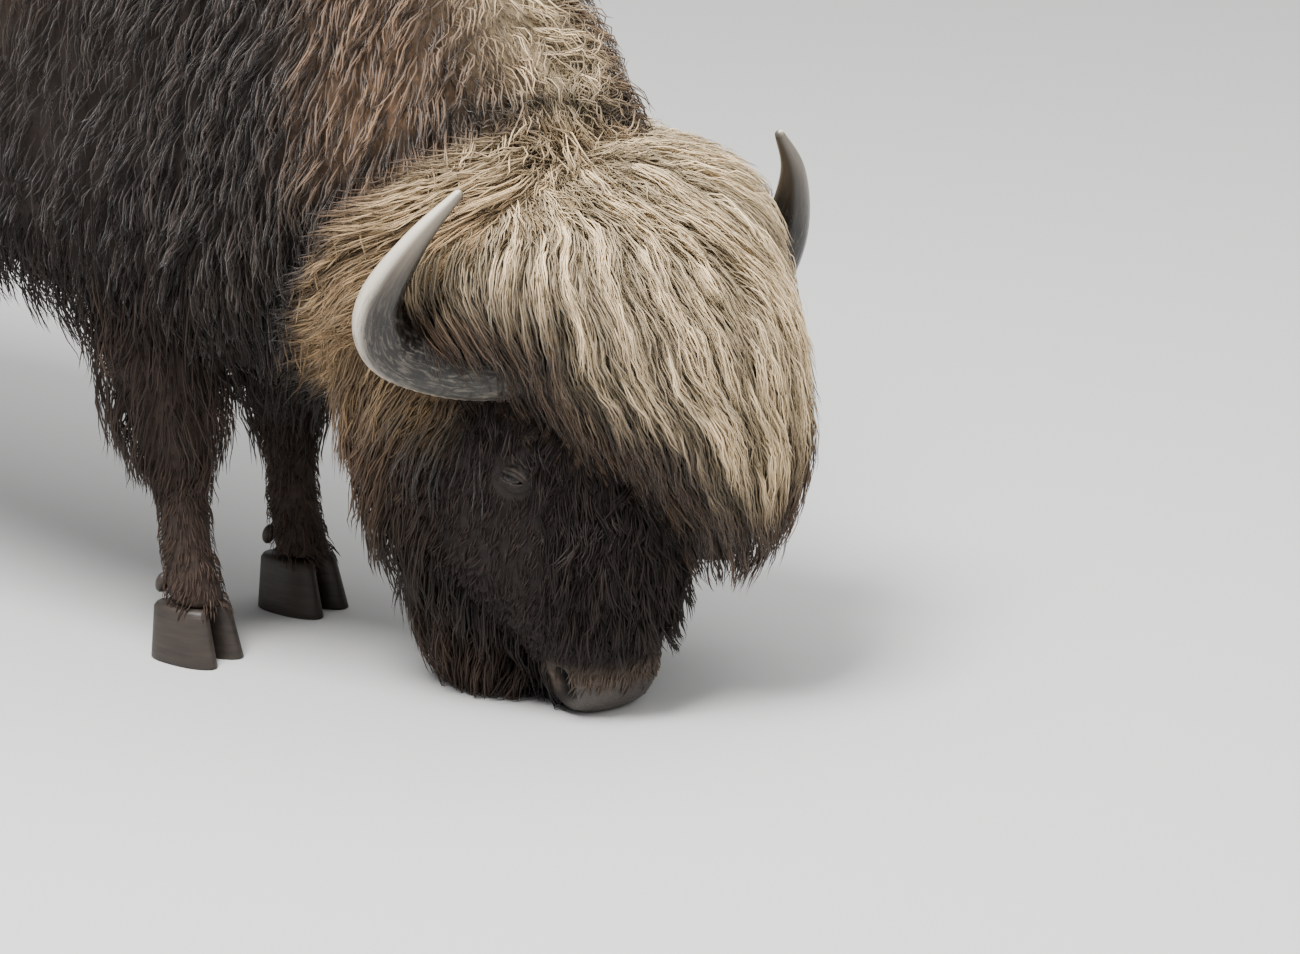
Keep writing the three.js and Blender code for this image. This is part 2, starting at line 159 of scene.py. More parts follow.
# Level sections up a left leg: height, x and y from the foot, half width, ahead, behind, depth.
FORELEG = [
    [78, 0, -6, 43, 52, 44, 5],
    [110, 0, 0, 39, 45, 43, 5],
    [160, 0, 8, 36, 39, 42, 4],
    [225, 0, 12, 38, 39, 43, 5],
    [275, 2, 14, 60, 60, 76, 22],
    [325, 6, 16, 84, 84, 108, 36],
    [400, 12, 20, 100, 104, 134, 36],
    [520, 20, 26, 112, 122, 156, 36],
    [680, 30, 40, 118, 150, 190, 36],
    [800, 30, 60, 120, 150, 190, 36],
]
HINDLEG = [
    [78, 0, -6, 41, 51, 43, 5],
    [105, 0, 0, 39, 46, 44, 5],
    [150, 0, 10, 37, 40, 44, 4],
    [230, 0, 26, 37, 40, 43, 4],
    [360, 0, 44, 41, 46, 50, 5],
    [440, 0, 50, 51, 58, 64, 6],
    [500, 2, 38, 58, 74, 74, 8],
    [570, 8, 12, 78, 112, 100, 9],
    [640, 14, -26, 98, 168, 142, 10],
    [720, 20, -60, 120, 220, 186, 10],
    [820, 24, -70, 132, 246, 222, 12],
    [920, 20, -80, 130, 240, 230, 12],
]
FEET_AT = {  # x and y of each foot's middle
    "fore_left": (124, 10),
    "fore_right": (-124, -10),
    "hind_left": (135, 1190),
    "hind_right": (-135, 1250),
}
# Round tubes: x, y, z of the middle line, radius, depth.
TAIL = [
    [0, 1330, 1240, 46, 10],
    [0, 1402, 1200, 42, 10],
    [0, 1456, 1120, 33, 9],
    [0, 1482, 1020, 26, 9],
    [0, 1486, 915, 22, 8],
    [0, 1482, 815, 22, 8],
    [0, 1480, 740, 38, 24],
    [0, 1476, 660, 42, 28],
    [0, 1472, 590, 26, 16],
]
HORN = [  # left horn in the head's frame: x, behind, height, radius
    [120, -2, 4, 41],
    [170, 4, 4, 40],
    [238, 32, 14, 39],
    [306, 50, 50, 38],
    [330, 34, 116, 30],
    [304, -12, 204, 17],
    [258, -44, 268, 7],
]
EYE = np.array([152, -16, -139]) * MM  # left eye in the head's frame
EYE_RADIUS = 21 * MM
EYE_OUT = np.array([0.86, -0.50, 0.06])  # the way the left eye looks
EYE_FORE = np.array([-0.45, -0.86, -0.22])  # towards its front corner
EAR_ROOT = np.array([222, 140, 28]) * MM
EAR_LENGTH = 140 * MM
EAR_HALF_WIDTH = 36 * MM
EAR_HALF_THICKNESS = 13 * MM
EAR_COAT = 6 * MM
EAR_LIFT = math.radians(8)
EAR_SWEEP = math.radians(32)
WHORL = np.array([-50, 93, 247]) * MM  # where the crown hair parts, in the head's frame


# ---- small tools -----------------------------------------------------------------------------


def unit(vectors):
    """Each vector divided by its length."""
    return vectors / np.maximum(np.linalg.norm(vectors, axis=-1, keepdims=True), 1e-12)


def dot(a, b):
    """Products of matching vectors, with the last axis kept."""
    return (a * b).sum(-1, keepdims=True)


def ramp(value, low, high):
    """0 below low, 1 above high, and a smooth cubic between."""
    t = np.clip((value - low) / (high - low), 0, 1)
    return t * t * (3 - 2 * t)


def smooth_rows(table, steps):
    """Rows on a Catmull-Rom curve through a table's rows, with steps from each row to the next."""
    rows = np.array(table, float)
    padded = np.vstack([rows[:1], rows, rows[-1:]])
    t = np.linspace(0, 1, steps, endpoint=False)[None, :, None]
    before, here, there, after = [padded[at : len(rows) - 1 + at, None] for at in range(4)]
    curve = 2 * here + (there - before) * t
    curve = curve + (2 * before - 5 * here + 4 * there - after) * t**2
    curve = curve + (3 * here - before - 3 * there + after) * t**3
    return np.vstack([0.5 * curve.reshape(-1, rows.shape[1]), rows[-1:]])


def turn_round(columns):
    """Evenly spaced angles of a full turn, as one row."""
    return np.linspace(0, 2 * math.pi, columns, endpoint=False)[None]


def sections(centre, side, front, half, ahead, behind, power_ahead, power_behind, columns):
    """Rings of points: centre + side * half * cos^(2/p) + front * reach * sin^(2/p) round each row's
    centre. All but the centre may be one value for every row."""
    half, ahead, behind, power_ahead, power_behind = [
        np.reshape(value, (-1, 1)) for value in (half, ahead, behind, power_ahead, power_behind)
    ]
    across, along = np.cos(turn_round(columns)), np.sin(turn_round(columns))
    power = 2 / np.where(along >= 0, power_ahead, power_behind)
    x = half * np.sign(across) * np.abs(across) ** power
    y = np.where(along >= 0, ahead, behind) * np.sign(along) * np.abs(along) ** power
    return centre[:, None] + x[..., None] * side[..., None, :] + y[..., None] * front[..., None, :]


def closest(points, spots):
    """Index of the closest spot to each point, by |q|^2 - 2pq in blocks of points."""
    square = (spots**2).sum(1)
    blocks = range(0, len(points), BLOCK)
    return np.concatenate([np.argmin(square - 2 * points[at : at + BLOCK] @ spots.T, 1) for at in blocks])


def nearest(grid, normals, points):
    """Index and signed distance of the nearest grid point."""
    flat, flat_normals = grid.reshape(-1, 3), normals.reshape(-1, 3)
    spots = points.reshape(-1, 3)
    index = closest(spots, flat)
    distance = ((spots - flat[index]) * flat_normals[index]).sum(1)
    # Past an open end nothing counts as inside.
    ends = (index < grid.shape[1]) | (index >= len(flat) - grid.shape[1])
    distance = np.where(ends, np.maximum(distance, np.linalg.norm(spots - flat[index], axis=1)), distance)
    return index.reshape(points.shape[:-1]), distance.reshape(points.shape[:-1])


class Surface:
    """A grid of points, closed round its columns, that hair is rooted on and combed over."""

    def __init__(self, outline, tile, depth):
        """The skin: the outline moved inward along its normals by a share of the coat's depth."""
        self.tile, self.depth = tile, depth
        self.measure(outline)
        normals = self.normals
        self.measure(outline - INSET * depth * normals)
        self.normals = normals

    def measure(self, points):
        """Keeps the points, the moves from each to the next along both ways, and the outward normals."""
        self.points = points
        self.around = (np.roll(points, -1, 1) - np.roll(points, 1, 1)) / 2
        self.along = np.gradient(points, axis=0)
        normal = unit(np.cross(self.around, self.along))
        outward = points - points.mean(1, keepdims=True)
        self.normals = normal * (1 if (normal * outward).sum() > 0 else -1)

    def sample(self, field, u, v):
        """A field's value at column u and row v, blended between its four neighbours."""
        rows, columns = field.shape[:2]
        v = np.clip(v, 0, rows - 1.001)
        u = u % columns
        i, j = v.astype(int), u.astype(int)
        up, across = (v - i)[..., None], (u - j)[..., None]
        k = (j + 1) % columns
        first = field[i, j % columns] * (1 - across) + field[i, k] * across
        second = field[i + 1, j % columns] * (1 - across) + field[i + 1, k] * across
        return first * (1 - up) + second * up

    def seeds(self, count, weight):
        """Even roots: rows and then cells get shares by area times weight, along a golden-ratio sequence."""
        centre = (self.points[:-1] + self.points[1:]) / 2
        area = np.linalg.norm(np.cross(self.around, self.along), axis=-1)
        mass = (area[:-1] + area[1:]) / 2 * weight(centre) + 1e-12
        by_row = np.concatenate([[0], np.cumsum(mass.sum(1))]) / mass.sum()
        v = np.interp((np.arange(count) + RNG.random(count)) / count, by_row, np.arange(len(by_row)))
        row = np.minimum(v.astype(int), len(mass) - 1)
        by_cell = np.cumsum(mass, 1) / mass.sum(1, keepdims=True)
        pick = (np.arange(count) * GOLDEN) % 1
        u = np.array((by_cell[row] < pick[:, None]).sum(1), float) + RNG.random(count)
        return u, v

    def bake_place(self, u, v):
        """A root's place on the unwrap: columns across and rows up, inside the surface's own tile."""
        x0, y0, x1, y1 = self.tile
        rows, columns = self.points.shape[:2]
        return np.stack([x0 + (x1 - x0) * (u % columns) / columns, y0 + (y1 - y0) * v / (rows - 1)], -1)


def body_rings(steps, columns):
    """The trunk and neck: each section lies in the plane through its back and belly points."""
    rows = smooth_rows(BODY, steps) * MM
    low = np.stack([rows[:, 4], rows[:, 2], rows[:, 3]], 1)
    high = np.stack([rows[:, 4], rows[:, 0], rows[:, 1]], 1)
    span = high - low
    length = np.linalg.norm(span, axis=1)
    share = rows[:, 6] / MM
    points = sections(
        low + span * share[:, None], LEFT, unit(span), rows[:, 5], length * (1 - share), length * share,
        rows[:, 7] / MM, rows[:, 8] / MM, columns,
    )
    return placed(points), rows[:, 9]


def level_rings(table, steps, columns, place):
    """A stack of level sections, as the head's: place() moves it from its own frame."""
    rows = smooth_rows(table, steps) * MM
    centre = np.stack([rows[:, 1], -rows[:, 2], rows[:, 0]], 1)
    points = sections(
        centre, LEFT, AHEAD, rows[:, 3], rows[:, 4] - rows[:, 2], rows[:, 2] - rows[:, 5],
        rows[:, 6] / MM, rows[:, 7] / MM, columns,
    )
    return place(points), rows[:, 8]


def leg_rings(table, foot, sign, steps, columns):
    """A leg from its foot up: level ellipses round a middle line that leans outward by sign."""
    level = [[r[0], foot[0] + sign * r[1], -(foot[1] + r[2]), r[3], 0, 0, 2, 2, r[6]] for r in table]
    for row, source in zip(level, table):
        row[4], row[5] = row[2] + source[4], row[2] - source[5]
    return level_rings(level, steps, columns, placed)


def tube_rings(table, steps, columns):
    """Round sections square to a middle line that stays in the plane x = 0."""
    rows = smooth_rows(table, steps) * MM
    line, radius = rows[:, :3], rows[:, 3]
    front = unit(np.cross(unit(np.gradient(line, axis=0)), LEFT))
    return placed(sections(line, LEFT, front, radius, radius, radius, 2, 2, columns)), rows[:, 4]


def ear_rings(sign, columns=16, rows=15):
    """A leaf: ellipses along the ear whose size follows a half sine, turned back and up from its root."""
    t = np.linspace(0.02, 0.98, rows)
    swell = np.sin(math.pi * t**0.8) ** 0.6
    level = math.cos(EAR_LIFT)
    out = np.array([math.cos(EAR_SWEEP) * level, math.sin(EAR_SWEEP) * level, math.sin(EAR_LIFT)])
    flat = unit(np.cross(out, [0, 0, 1.0]))
    wide = EAR_HALF_WIDTH * swell
    points = sections(
        EAR_ROOT + (t * EAR_LENGTH)[:, None] * out, flat, np.cross(flat, out), EAR_HALF_THICKNESS * swell,
        wide, wide, 2, 2, columns,
    )
    points[..., 0] *= sign
    return from_head(points), np.full(rows, EAR_COAT)


def horn_line(steps):
    """The left horn's middle line, which lies nearly in one plane: its points, radius and heading, and two
    directions square to it."""
    rows = smooth_rows(HORN, steps) * MM
    line, radius = rows[:, :3], rows[:, 3]
    heading = unit(np.gradient(line, axis=0))
    plane = np.linalg.svd(line - line.mean(0))[2][2]
    across = unit(np.cross(heading, plane))
    return line, radius, heading, across, np.cross(heading, across)


def horn_rings(sign, steps, columns):
    """Round sections square to a horn's middle line."""
    line, radius, _, across, other = horn_line(steps)
    angle = turn_round(columns)[..., None]
    ring = across[:, None] * np.cos(angle) + other[:, None] * np.sin(angle)
    grid = line[:, None] + radius[:, None, None] * ring
    grid[..., 0] *= sign
    return from_head(grid)


EYE_OUT = unit(EYE_OUT)
EYE_LONG = unit(np.cross(np.cross(EYE_OUT, EYE_FORE), EYE_OUT))
EYE_UP = np.cross(EYE_OUT, EYE_LONG) * np.sign(np.cross(EYE_OUT, EYE_LONG)[2])


def off_eye(points):
    """0 over either eye's opening, 1 away from it: an ellipse of half axes 25 and 19 mm, whose middle is 5
    mm above the eye's."""
    offset = np.stack(half_head(points), -1) - EYE
    along, high = offset @ EYE_LONG / 0.025, (offset @ EYE_UP - 0.005) / 0.019
    return ramp(along**2 + high**2, 0.8, 1.2)


# ---- the surfaces the coat grows on --------------------------------------------------------------
INSET = 0.92  # the skin lies inside the outline by this share of the coat's depth
MOUND_HEIGHT, MOUND_REACH = 12 * MM, 40 * MM


def head_depth(points, depth):
    """Short fur on the face, growing deeper over cheek and jaw."""
    local = to_head(points)
    behind, height = local[..., 1:2], local[..., 2:]
    return depth * (0.25 + 0.75 * np.maximum(ramp(behind, -0.01, 0.13), ramp(height, -0.08, 0.02)))


def eye_mound(points):
    """The bulge round each eye: outward by its height times exp(-(r / reach)^2)."""
    local = to_head(points)
    mirror = np.stack([np.sign(local[..., 0]), *np.ones((2, *local.shape[:-1]))], -1)
    from_eye = np.linalg.norm(local * mirror - EYE, axis=-1, keepdims=True)
    swell = MOUND_HEIGHT * np.exp(-((from_eye / MOUND_REACH) ** 2))
    return points + swell * (EYE_OUT * mirror) @ TURN.T


surfaces = {}
parts_of_skin = {
    "body": (body_rings(4, 64), (0.01, 0.01, 0.60, 0.60)),
    "head": (level_rings(HEAD, 4, 64, from_head), (0.62, 0.40, 0.99, 0.77)),
    "mop": (level_rings(MOP, 5, 64, from_head), (0.62, 0.01, 0.99, 0.38)),
    "beard": (level_rings(BEARD, 4, 40, from_head), (0.62, 0.79, 0.80, 0.97)),
    "tail": (tube_rings(TAIL, 4, 20), (0.82, 0.79, 0.90, 0.97)),
    "ear_left": (ear_rings(1), (0.92, 0.79, 0.99, 0.87)),
    "ear_right": (ear_rings(-1), (0.92, 0.89, 0.99, 0.97)),
}
for tile, (end, foot) in enumerate(FEET_AT.items()):
    table = FORELEG if end.startswith("fore") else HINDLEG
    corner = 0.01 + 0.15 * tile
    parts_of_skin[end] = (
        leg_rings(table, foot, 1 if foot[0] > 0 else -1, 4, 32),
        (corner, 0.62, corner + 0.13, 0.97),
    )
for key, ((points, depth), tile) in parts_of_skin.items():
    depth = np.repeat(depth[:, None, None], points.shape[1], 1)
    if key == "head":
        points, depth = eye_mound(points), head_depth(points, depth)
    surfaces[key] = Surface(points, tile, depth)
obstacles = dict(surfaces)  # hair is kept out of these
for sign, word in SIDES:
    points = horn_rings(sign, 6, 20)
    obstacles[f"horn_{word}"] = Surface(points, None, np.zeros((*points.shape[:2], 1)))

# ---- colours of the coat ---------------------------------------------------------------------------


def linear(colour):
    """An sRGB hex colour as linear red, green and blue."""
    value = np.array([int(colour[at : at + 2], 16) for at in (1, 3, 5)]) / 255
    return np.where(value <= 0.04045, value / 12.92, ((value + 0.055) / 1.055) ** 2.4)


def mix(first, second, share):
    """share of second in first, for arrays of colours."""
    return first + (second - first) * share[..., None]


SHADES = {
    "crown_bright": "#f1d6aa",  # sun-bleached crown hair
    "crown_low": "#4f3c2c",  # its ends over the brow: browner, and darker still with painted shade
    "wool": "#785c43",  # neck, shoulders and hump
    "wool_pale": "#ecd2a8",  # bleached crest of the hump and nape
    "cape_low": "#2c2019",  # shoulders below the crest: their own dark brown, darkened further as painted shade
    "flank": "#4a3527",  # short summer hair
    # under the chest: dark brown, darkened further as painted shade
    "belly": "#2a1e18",
    "face": "#261c18",
    "cheek": "#33271f",
    "jowl": "#715945",  # hind edge of the cheek
    "fan": "#b3946c",  # hair round the ears, behind the horns
    "leg": "#42332a",
    "nose": "#403a36",
    "muzzle_rim": "#6b5c4f",  # paler short hair round the top of the nose
}
SHADE = {key: linear(value) for key, value in SHADES.items()}
# Across the head, to its left, and the height where the crown hair ends there.
HEM_AT = np.array([-250, -220, -190, -140, -120, -70, 20, 75, 150, 200, 260, 320]) * MM
HEM_HEIGHT = np.array([25, 20, 0, -15, -80, -130, -185, -260, -310, -260, -100, 20]) * MM


def above_hem(points):
    """Height over the line where the crown hair ends."""
    local = to_head(points)
    return local[..., 2] - np.interp(local[..., 0], HEM_AT, HEM_HEIGHT)


NECK_MIDDLE = FEET[0] + 0.055  # the crest of the neck, which bends a little to the left


def ruff_edge(points):
    """How far inside the ruff of long pale hair behind the horns: its edge is a slanting plane."""
    _, behind, height = half_head(points)
    return 0.272 - behind - 0.78 * height


def body_shade(points):
    """Woolly brown in front, paler along the crest, short dark brown hair behind, darkest under the chest.
    Painted shade darkens the neck's sides, a band to each side of the crest, the chest and the crease round
    the ruff."""
    x, y, z = in_animal(points)
    # The sides of the neck and shoulders turn to cape_low: partly the cape's own dark brown, partly painted
    # shade.
    side = ramp(np.abs(x), 0.1, 0.26) * (1 - ramp(z, 1.1 - 0.4 * ramp(y, -0.3, 0.35), 1.45))
    colour = mix(SHADE["wool"], SHADE["cape_low"], side * ramp(y, -0.42, -0.27))
    colour = mix(colour, SHADE["flank"], ramp(y, 0.2, 0.66))
    off_crest = np.abs(points[..., 0] - NECK_MIDDLE)
    # Painted shade in a band to each side of the crest, where the rolls of the neck shade it.
    painted_roll_shade = np.exp(-(((off_crest - 0.16) / 0.05) ** 2)) * (1 - ramp(y, -0.4, -0.2))
    colour = mix(colour, SHADE["cape_low"], 0.5 * painted_roll_shade * ramp(z, 0.7, 0.8))
    middle = np.exp(-((off_crest / 0.09) ** 2)) * (1 - ramp(y, -0.3, -0.05))
    crest = 0.45 * ramp(z, 1.2, 1.6) * (1 - ramp(y, 0.3, 0.6)) + ramp(z, 0.7, 0.85) * middle
    colour = mix(colour, SHADE["wool_pale"], np.clip(crest, 0, 1) * 0.85)
    low = (1 - ramp(z, 0.5, 0.86)) * (1 - ramp(y, 0.35, 0.7))
    colour = mix(colour, SHADE["cheek"], low)
    # Darkest under the chest: dark brown hair, with painted shade.
    colour = mix(colour, SHADE["belly"], (1 - ramp(z, 0.66, 0.86)) * ramp(y, -0.3, 0.0))
    edge = ruff_edge(points)
    # A painted shadow in the crease along the ruff's edge.
    crease = np.exp(-(((edge + 0.035) / 0.018) ** 2)) * (1 - ramp(y, -0.2, 0.0))
    colour = mix(colour, 0.35 * colour, crease)
    ruff = mix(SHADE["fan"], SHADE["crown_bright"], 0.45 * ramp(to_head(points)[..., 2], 0.18, 0.28))
    return mix(colour, ruff, ramp(edge, -0.015, 0.02) * ramp(z, 0.42, 0.5))


def head_shade(points):
    """Near-black face and cheeks, and brown hair behind the horns and round the ears."""
    _, behind, height = half_head(points)
    colour = mix(SHADE["face"], SHADE["cheek"], ramp(behind, 0.05, 0.2))
    colour = mix(colour, 1.8 * SHADE["cheek"], ramp(behind, 0.05, 0.15) * (1 - ramp(height, -0.42, -0.34)))
    colour = mix(colour, SHADE["jowl"], ramp(behind, 0.06, 0.22) * ramp(height, -0.32, -0.12))
    fan = ramp(height, -0.15, 0.0) * ramp(behind, 0.02, 0.10)
    colour = mix(colour, SHADE["fan"], fan)
    rim = ramp(height, -0.47, -0.45) * (1 - ramp(height, -0.44, -0.41)) * (1 - ramp(behind, 0.0, 0.03))
    return mix(colour, SHADE["muzzle_rim"], 0.7 * rim)


def crown_shade(points):
    """Palest over the crown, browner towards the ends that hang over the face, which are also darkened as
    painted shade.
    """
    return mix(SHADE["crown_low"], SHADE["crown_bright"], ramp(above_hem(points), 0.06, 0.18))


def leg_shade(points):
    """Dark below, and the flank's brown on the thigh."""
    _, y, z = in_animal(points)
    thigh = ramp(z, 0.3, 0.6) * ramp(y, 0.5, 0.7)
    return mix(np.broadcast_to(SHADE["leg"], points.shape), SHADE["flank"], thigh)


def fan_shade(points):
    """The brown of the hair round the ears."""
    return np.broadcast_to(SHADE["fan"], points.shape)


def tail_shade(points):
    """The flank's brown above, dark towards the tuft."""
    return mix(SHADE["leg"], SHADE["flank"], ramp(points[..., 2], 0.7, 0.95))


REGION_SHADE = {
    "body": body_shade, "head": head_shade, "beard": head_shade, "mop": crown_shade, "tail": tail_shade,
    "ear_left": fan_shade, "ear_right": fan_shade,
    "fore_left": leg_shade, "fore_right": leg_shade, "hind_left": leg_shade, "hind_right": leg_shade,
}
REGION_BLEND = 0.010  # metres over which one region's colour runs into the next
GRID_SLACK = 0.03  # metres that a point on a surface may lie from the surface's nearest grid point


def marking(points):
    """Each region's colour weighed by exp(-distance / blend) to that region's surface."""
    total, colour = 0, 0
    for key, surface in surfaces.items():
        index, distance = nearest(surface.points, surface.normals, points)
        gap = np.linalg.norm(points - surface.points.reshape(-1, 3)[index], axis=-1)
        gap = np.maximum(np.abs(distance), gap - GRID_SLACK)
        weight = np.exp(-gap / REGION_BLEND) + 1e-9
        total = total + weight
        colour = colour + weight[..., None] * REGION_SHADE[key](points)
    return colour / total[..., None]


# ---- meshes --------------------------------------------------------------------------------------


def in_scene(name, data):
    """A new object with the data, linked into the scene."""
    piece = bpy.data.objects.new(name, data)
    bpy.context.scene.collection.objects.link(piece)
    return piece


def link(name, mesh, material):
    """Puts a mesh in the scene as a piece of the animal."""
    piece = in_scene(name, mesh)
    mesh.materials.clear()
    mesh.materials.append(material)
    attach(piece, "root")
    return piece


def build_mesh(name, vertices, corners, sizes):
    """A mesh from whole arrays: vertices, each face's corners in one run, and each face's corner count."""
    mesh = bpy.data.meshes.new(name)
    mesh.vertices.add(len(vertices))
    mesh.vertices.foreach_set("co", np.ascontiguousarray(vertices, np.float32).ravel())
    mesh.loops.add(len(corners))
    mesh.loops.foreach_set("vertex_index", corners.astype(np.int32))
    mesh.polygons.add(len(sizes))
    mesh.polygons.foreach_set("loop_start", np.concatenate([[0], np.cumsum(sizes)[:-1]]).astype(np.int32))
    mesh.polygons.foreach_set("loop_total", sizes.astype(np.int32))
    mesh.polygons.foreach_set("use_smooth", np.ones(len(sizes), bool))
    mesh.update()
    return mesh


def grid_faces(rows, columns, start, flip, caps=True):
    """Quads of a grid closed round its columns, and a fan round an extra point at each end."""
    i, j = np.meshgrid(np.arange(rows - 1), np.arange(columns), indexing="ij")
    k = (j + 1) % columns
    quads = np.stack([i * columns + j, i * columns + k, (i + 1) * columns + k, (i + 1) * columns + j], -1)
    quads = quads.reshape(-1, 4)
    fans = np.zeros((0, 3), int)
    if caps:
        j = np.arange(columns)
        k = (j + 1) % columns
        first = np.stack([np.full(columns, rows * columns), k, j], -1)
        last = (rows - 1) * columns
        second = np.stack([np.full(columns, rows * columns + 1), last + j, last + k], -1)
        fans = np.vstack([first, second])
    if flip:
        quads, fans = quads[:, ::-1], fans[:, ::-1]
    return quads + start, fans + start


def capped(grids):
    """Vertices, corners and face sizes of closed shells, one for each grid, with outward faces."""
    vertices, quads, fans, start = [], [], [], 0
    for grid in grids:
        rows, columns = grid.shape[:2]
        around = np.roll(grid, -1, 1) - grid
        along = np.gradient(grid, axis=0)
        outward = grid - grid.mean(1, keepdims=True)
        flip = (np.cross(around, along) * outward).sum() < 0
        vertices += [grid.reshape(-1, 3), grid[0].mean(0)[None], grid[-1].mean(0)[None]]
        more_quads, more_fans = grid_faces(rows, columns, start, flip)
        quads.append(more_quads)
        fans.append(more_fans)
        start += rows * columns + 2
    quads, fans = np.vstack(quads), np.vstack(fans)
    corners = np.concatenate([quads.ravel(), fans.ravel()])
    sizes = np.concatenate([np.full(len(quads), 4), np.full(len(fans), 3)])
    return np.vstack(vertices), corners, sizes


def paint(mesh, colours):
    """Stores a colour for each vertex."""
    values = np.ones((len(colours), 4), np.float32)
    values[:, :3] = colours
    mesh.attributes.new("coat", "FLOAT_COLOR", "POINT").data.foreach_set("color", values.ravel())


def mark_bare(mesh, values):
    """Stores how bare the skin is at each vertex."""
    layer = mesh.attributes.new("bare", "FLOAT", "POINT")
    layer.data.foreach_set("value", np.ascontiguousarray(values, np.float32))


def unwrap(mesh, name, values):
    """Stores u and v for each corner."""
    layer = mesh.uv_layers.new(name=name)
    layer.data.foreach_set("uv", np.ascontiguousarray(values, np.float32).ravel())


def mesh_points(mesh, kind="co"):
    """Vertex places, or normals, as an array."""
    values = np.zeros(len(mesh.vertices) * 3, np.float32)
    mesh.vertices.foreach_get(kind, values)
    return values.reshape(-1, 3).astype(float)


def move_to(mesh, points):
    """Moves the vertices to new places."""
    mesh.vertices.foreach_set("co", points.astype(np.float32).ravel())
    mesh.update()


# ---- materials -------------------------------------------------------------------------------------
RANGE = ("From Min", "From Max", "To Min", "To Max")  # inputs of a node that maps one range onto another


def wire(tree, node, settings=None, links=None):
    """Gives a node its settings, which are properties or input values, and links its inputs to sockets, or
    to the first outputs of other nodes."""
    for key, value in (settings or {}).items():
        if isinstance(key, int) or key in node.inputs:
            node.inputs[key].default_value = value
        else:
            setattr(node, key, value)
    for key, source in (links or {}).items():
        socket = source.outputs[0] if isinstance(source, bpy.types.Node) else source
        tree.links.new(node.inputs[key], socket)
    return node


def add(tree, kind, settings=None, links=None):
    """Adds a node of a kind, with its settings and links."""
    return wire(tree, tree.nodes.new("ShaderNode" + kind), settings, links)


def new_material(name, surface):
    """A material, its tree and its surface shader, whose fixed values are set on its own sockets."""
    material = bpy.data.materials.new(name)
    material.use_nodes = True
    tree = material.node_tree
    return material, tree, wire(tree, tree.nodes["Principled BSDF"], surface)


def hair_material(name, roughness, streak_across, streak_along, contrast, relief, sheen=0.0):
    """Hair in locks: light and dark streaks along each lock, with a little relief between them. They are 1
    to 2 mm wide and 15 to 70 mm long, because single hairs, about 0.1 mm thick, are too fine to show. The
    pattern repeats streak_across times round a lock and streak_along times along it."""
    look = {"Roughness": roughness, "Specular IOR Level": 0.28, "Sheen Weight": sheen, "Sheen Roughness": 0.4}
    material, tree, shader = new_material(name, look)
    shade = add(tree, "Attribute", {"attribute_name": "coat"})
    lock = add(tree, "UVMap", {"uv_map": "lock"})
    stretch = add(tree, "Mapping", {"Scale": (streak_across, streak_along, 1)}, {"Vector": lock})
    streak = add(tree, "TexNoise", {"Scale": 1.0, "Detail": 3.0, "Roughness": 0.6}, {"Vector": stretch})
    limits = dict(zip(RANGE, (0.3, 0.7, 1 - contrast, 1 + contrast)))
    spread = add(tree, "MapRange", limits, {"Value": streak})
    tinted = add(tree, "VectorMath", {"operation": "SCALE"}, {0: shade, "Scale": spread})
    bump = add(tree, "Bump", {"Strength": 0.6, "Distance": relief}, {"Height": streak})
    wire(tree, shader, links={"Base Color": tinted, "Normal": bump})
    return material


def skin_material():
    """Skin under hair: dark streaky underfur, and bare, damp, cobbled skin where bare is 1."""
    material, tree, shader = new_material("underfur_and_nose_skin", {"Specular IOR Level": 0.35})
    place = add(tree, "TexCoord").outputs["Object"]
    shade = add(tree, "Attribute", {"attribute_name": "coat"})
    bare = add(tree, "Attribute", {"attribute_name": "bare"}).outputs["Fac"]
    # Hair 2 mm apart and 20 mm long, hanging down: as coarse as it needs to show.
    stretch = add(tree, "Mapping", {"Scale": (500, 500, 50)}, {"Vector": place})
    fur = add(tree, "TexNoise", {"Scale": 1.0, "Detail": 4.0, "Roughness": 0.65}, {"Vector": stretch})
    spread = add(tree, "MapRange", dict(zip(RANGE, (0.25, 0.75, 0.55, 1.25))), {"Value": fur})
    # Cobbles 3 mm across on the bare nose.
    cobble = add(tree, "TexVoronoi", {"Scale": 330.0, "feature": "SMOOTH_F1"}, {"Vector": place})
    height = add(tree, "Mix", {"data_type": "FLOAT"}, {0: bare, 2: fur, 3: cobble})
    # Tufts 12 mm apart and 40 mm long, lying back along the body.
    lie = add(tree, "Mapping", {"Scale": (85, 25, 85)}, {"Vector": place})
    look = {"Scale": 1.0, "Detail": 3.0, "Roughness": 0.7, "Distortion": 0.4}
    tufts = add(tree, "TexNoise", look, {"Vector": lie})
    patch = add(tree, "MapRange", dict(zip(RANGE, (0.35, 0.6, 0.62, 1.15))), {"Value": tufts})
    both = add(tree, "Math", {"operation": "MULTIPLY"}, {0: spread, 1: patch})
    tinted = add(tree, "VectorMath", {"operation": "SCALE"}, {0: shade, "Scale": both})
    colour = add(tree, "Mix", {"data_type": "RGBA"}, {0: bare, 6: tinted, 7: shade})
    gloss = add(tree, "MapRange", {"To Min": 0.8, "To Max": 0.36}, {"Value": bare})
    bump = add(tree, "Bump", {"Strength": 0.7, "Distance": 0.0015}, {"Height": height})
    wire(tree, shader, links={"Base Color": colour.outputs[2], "Roughness": gloss, "Normal": bump})
    return material


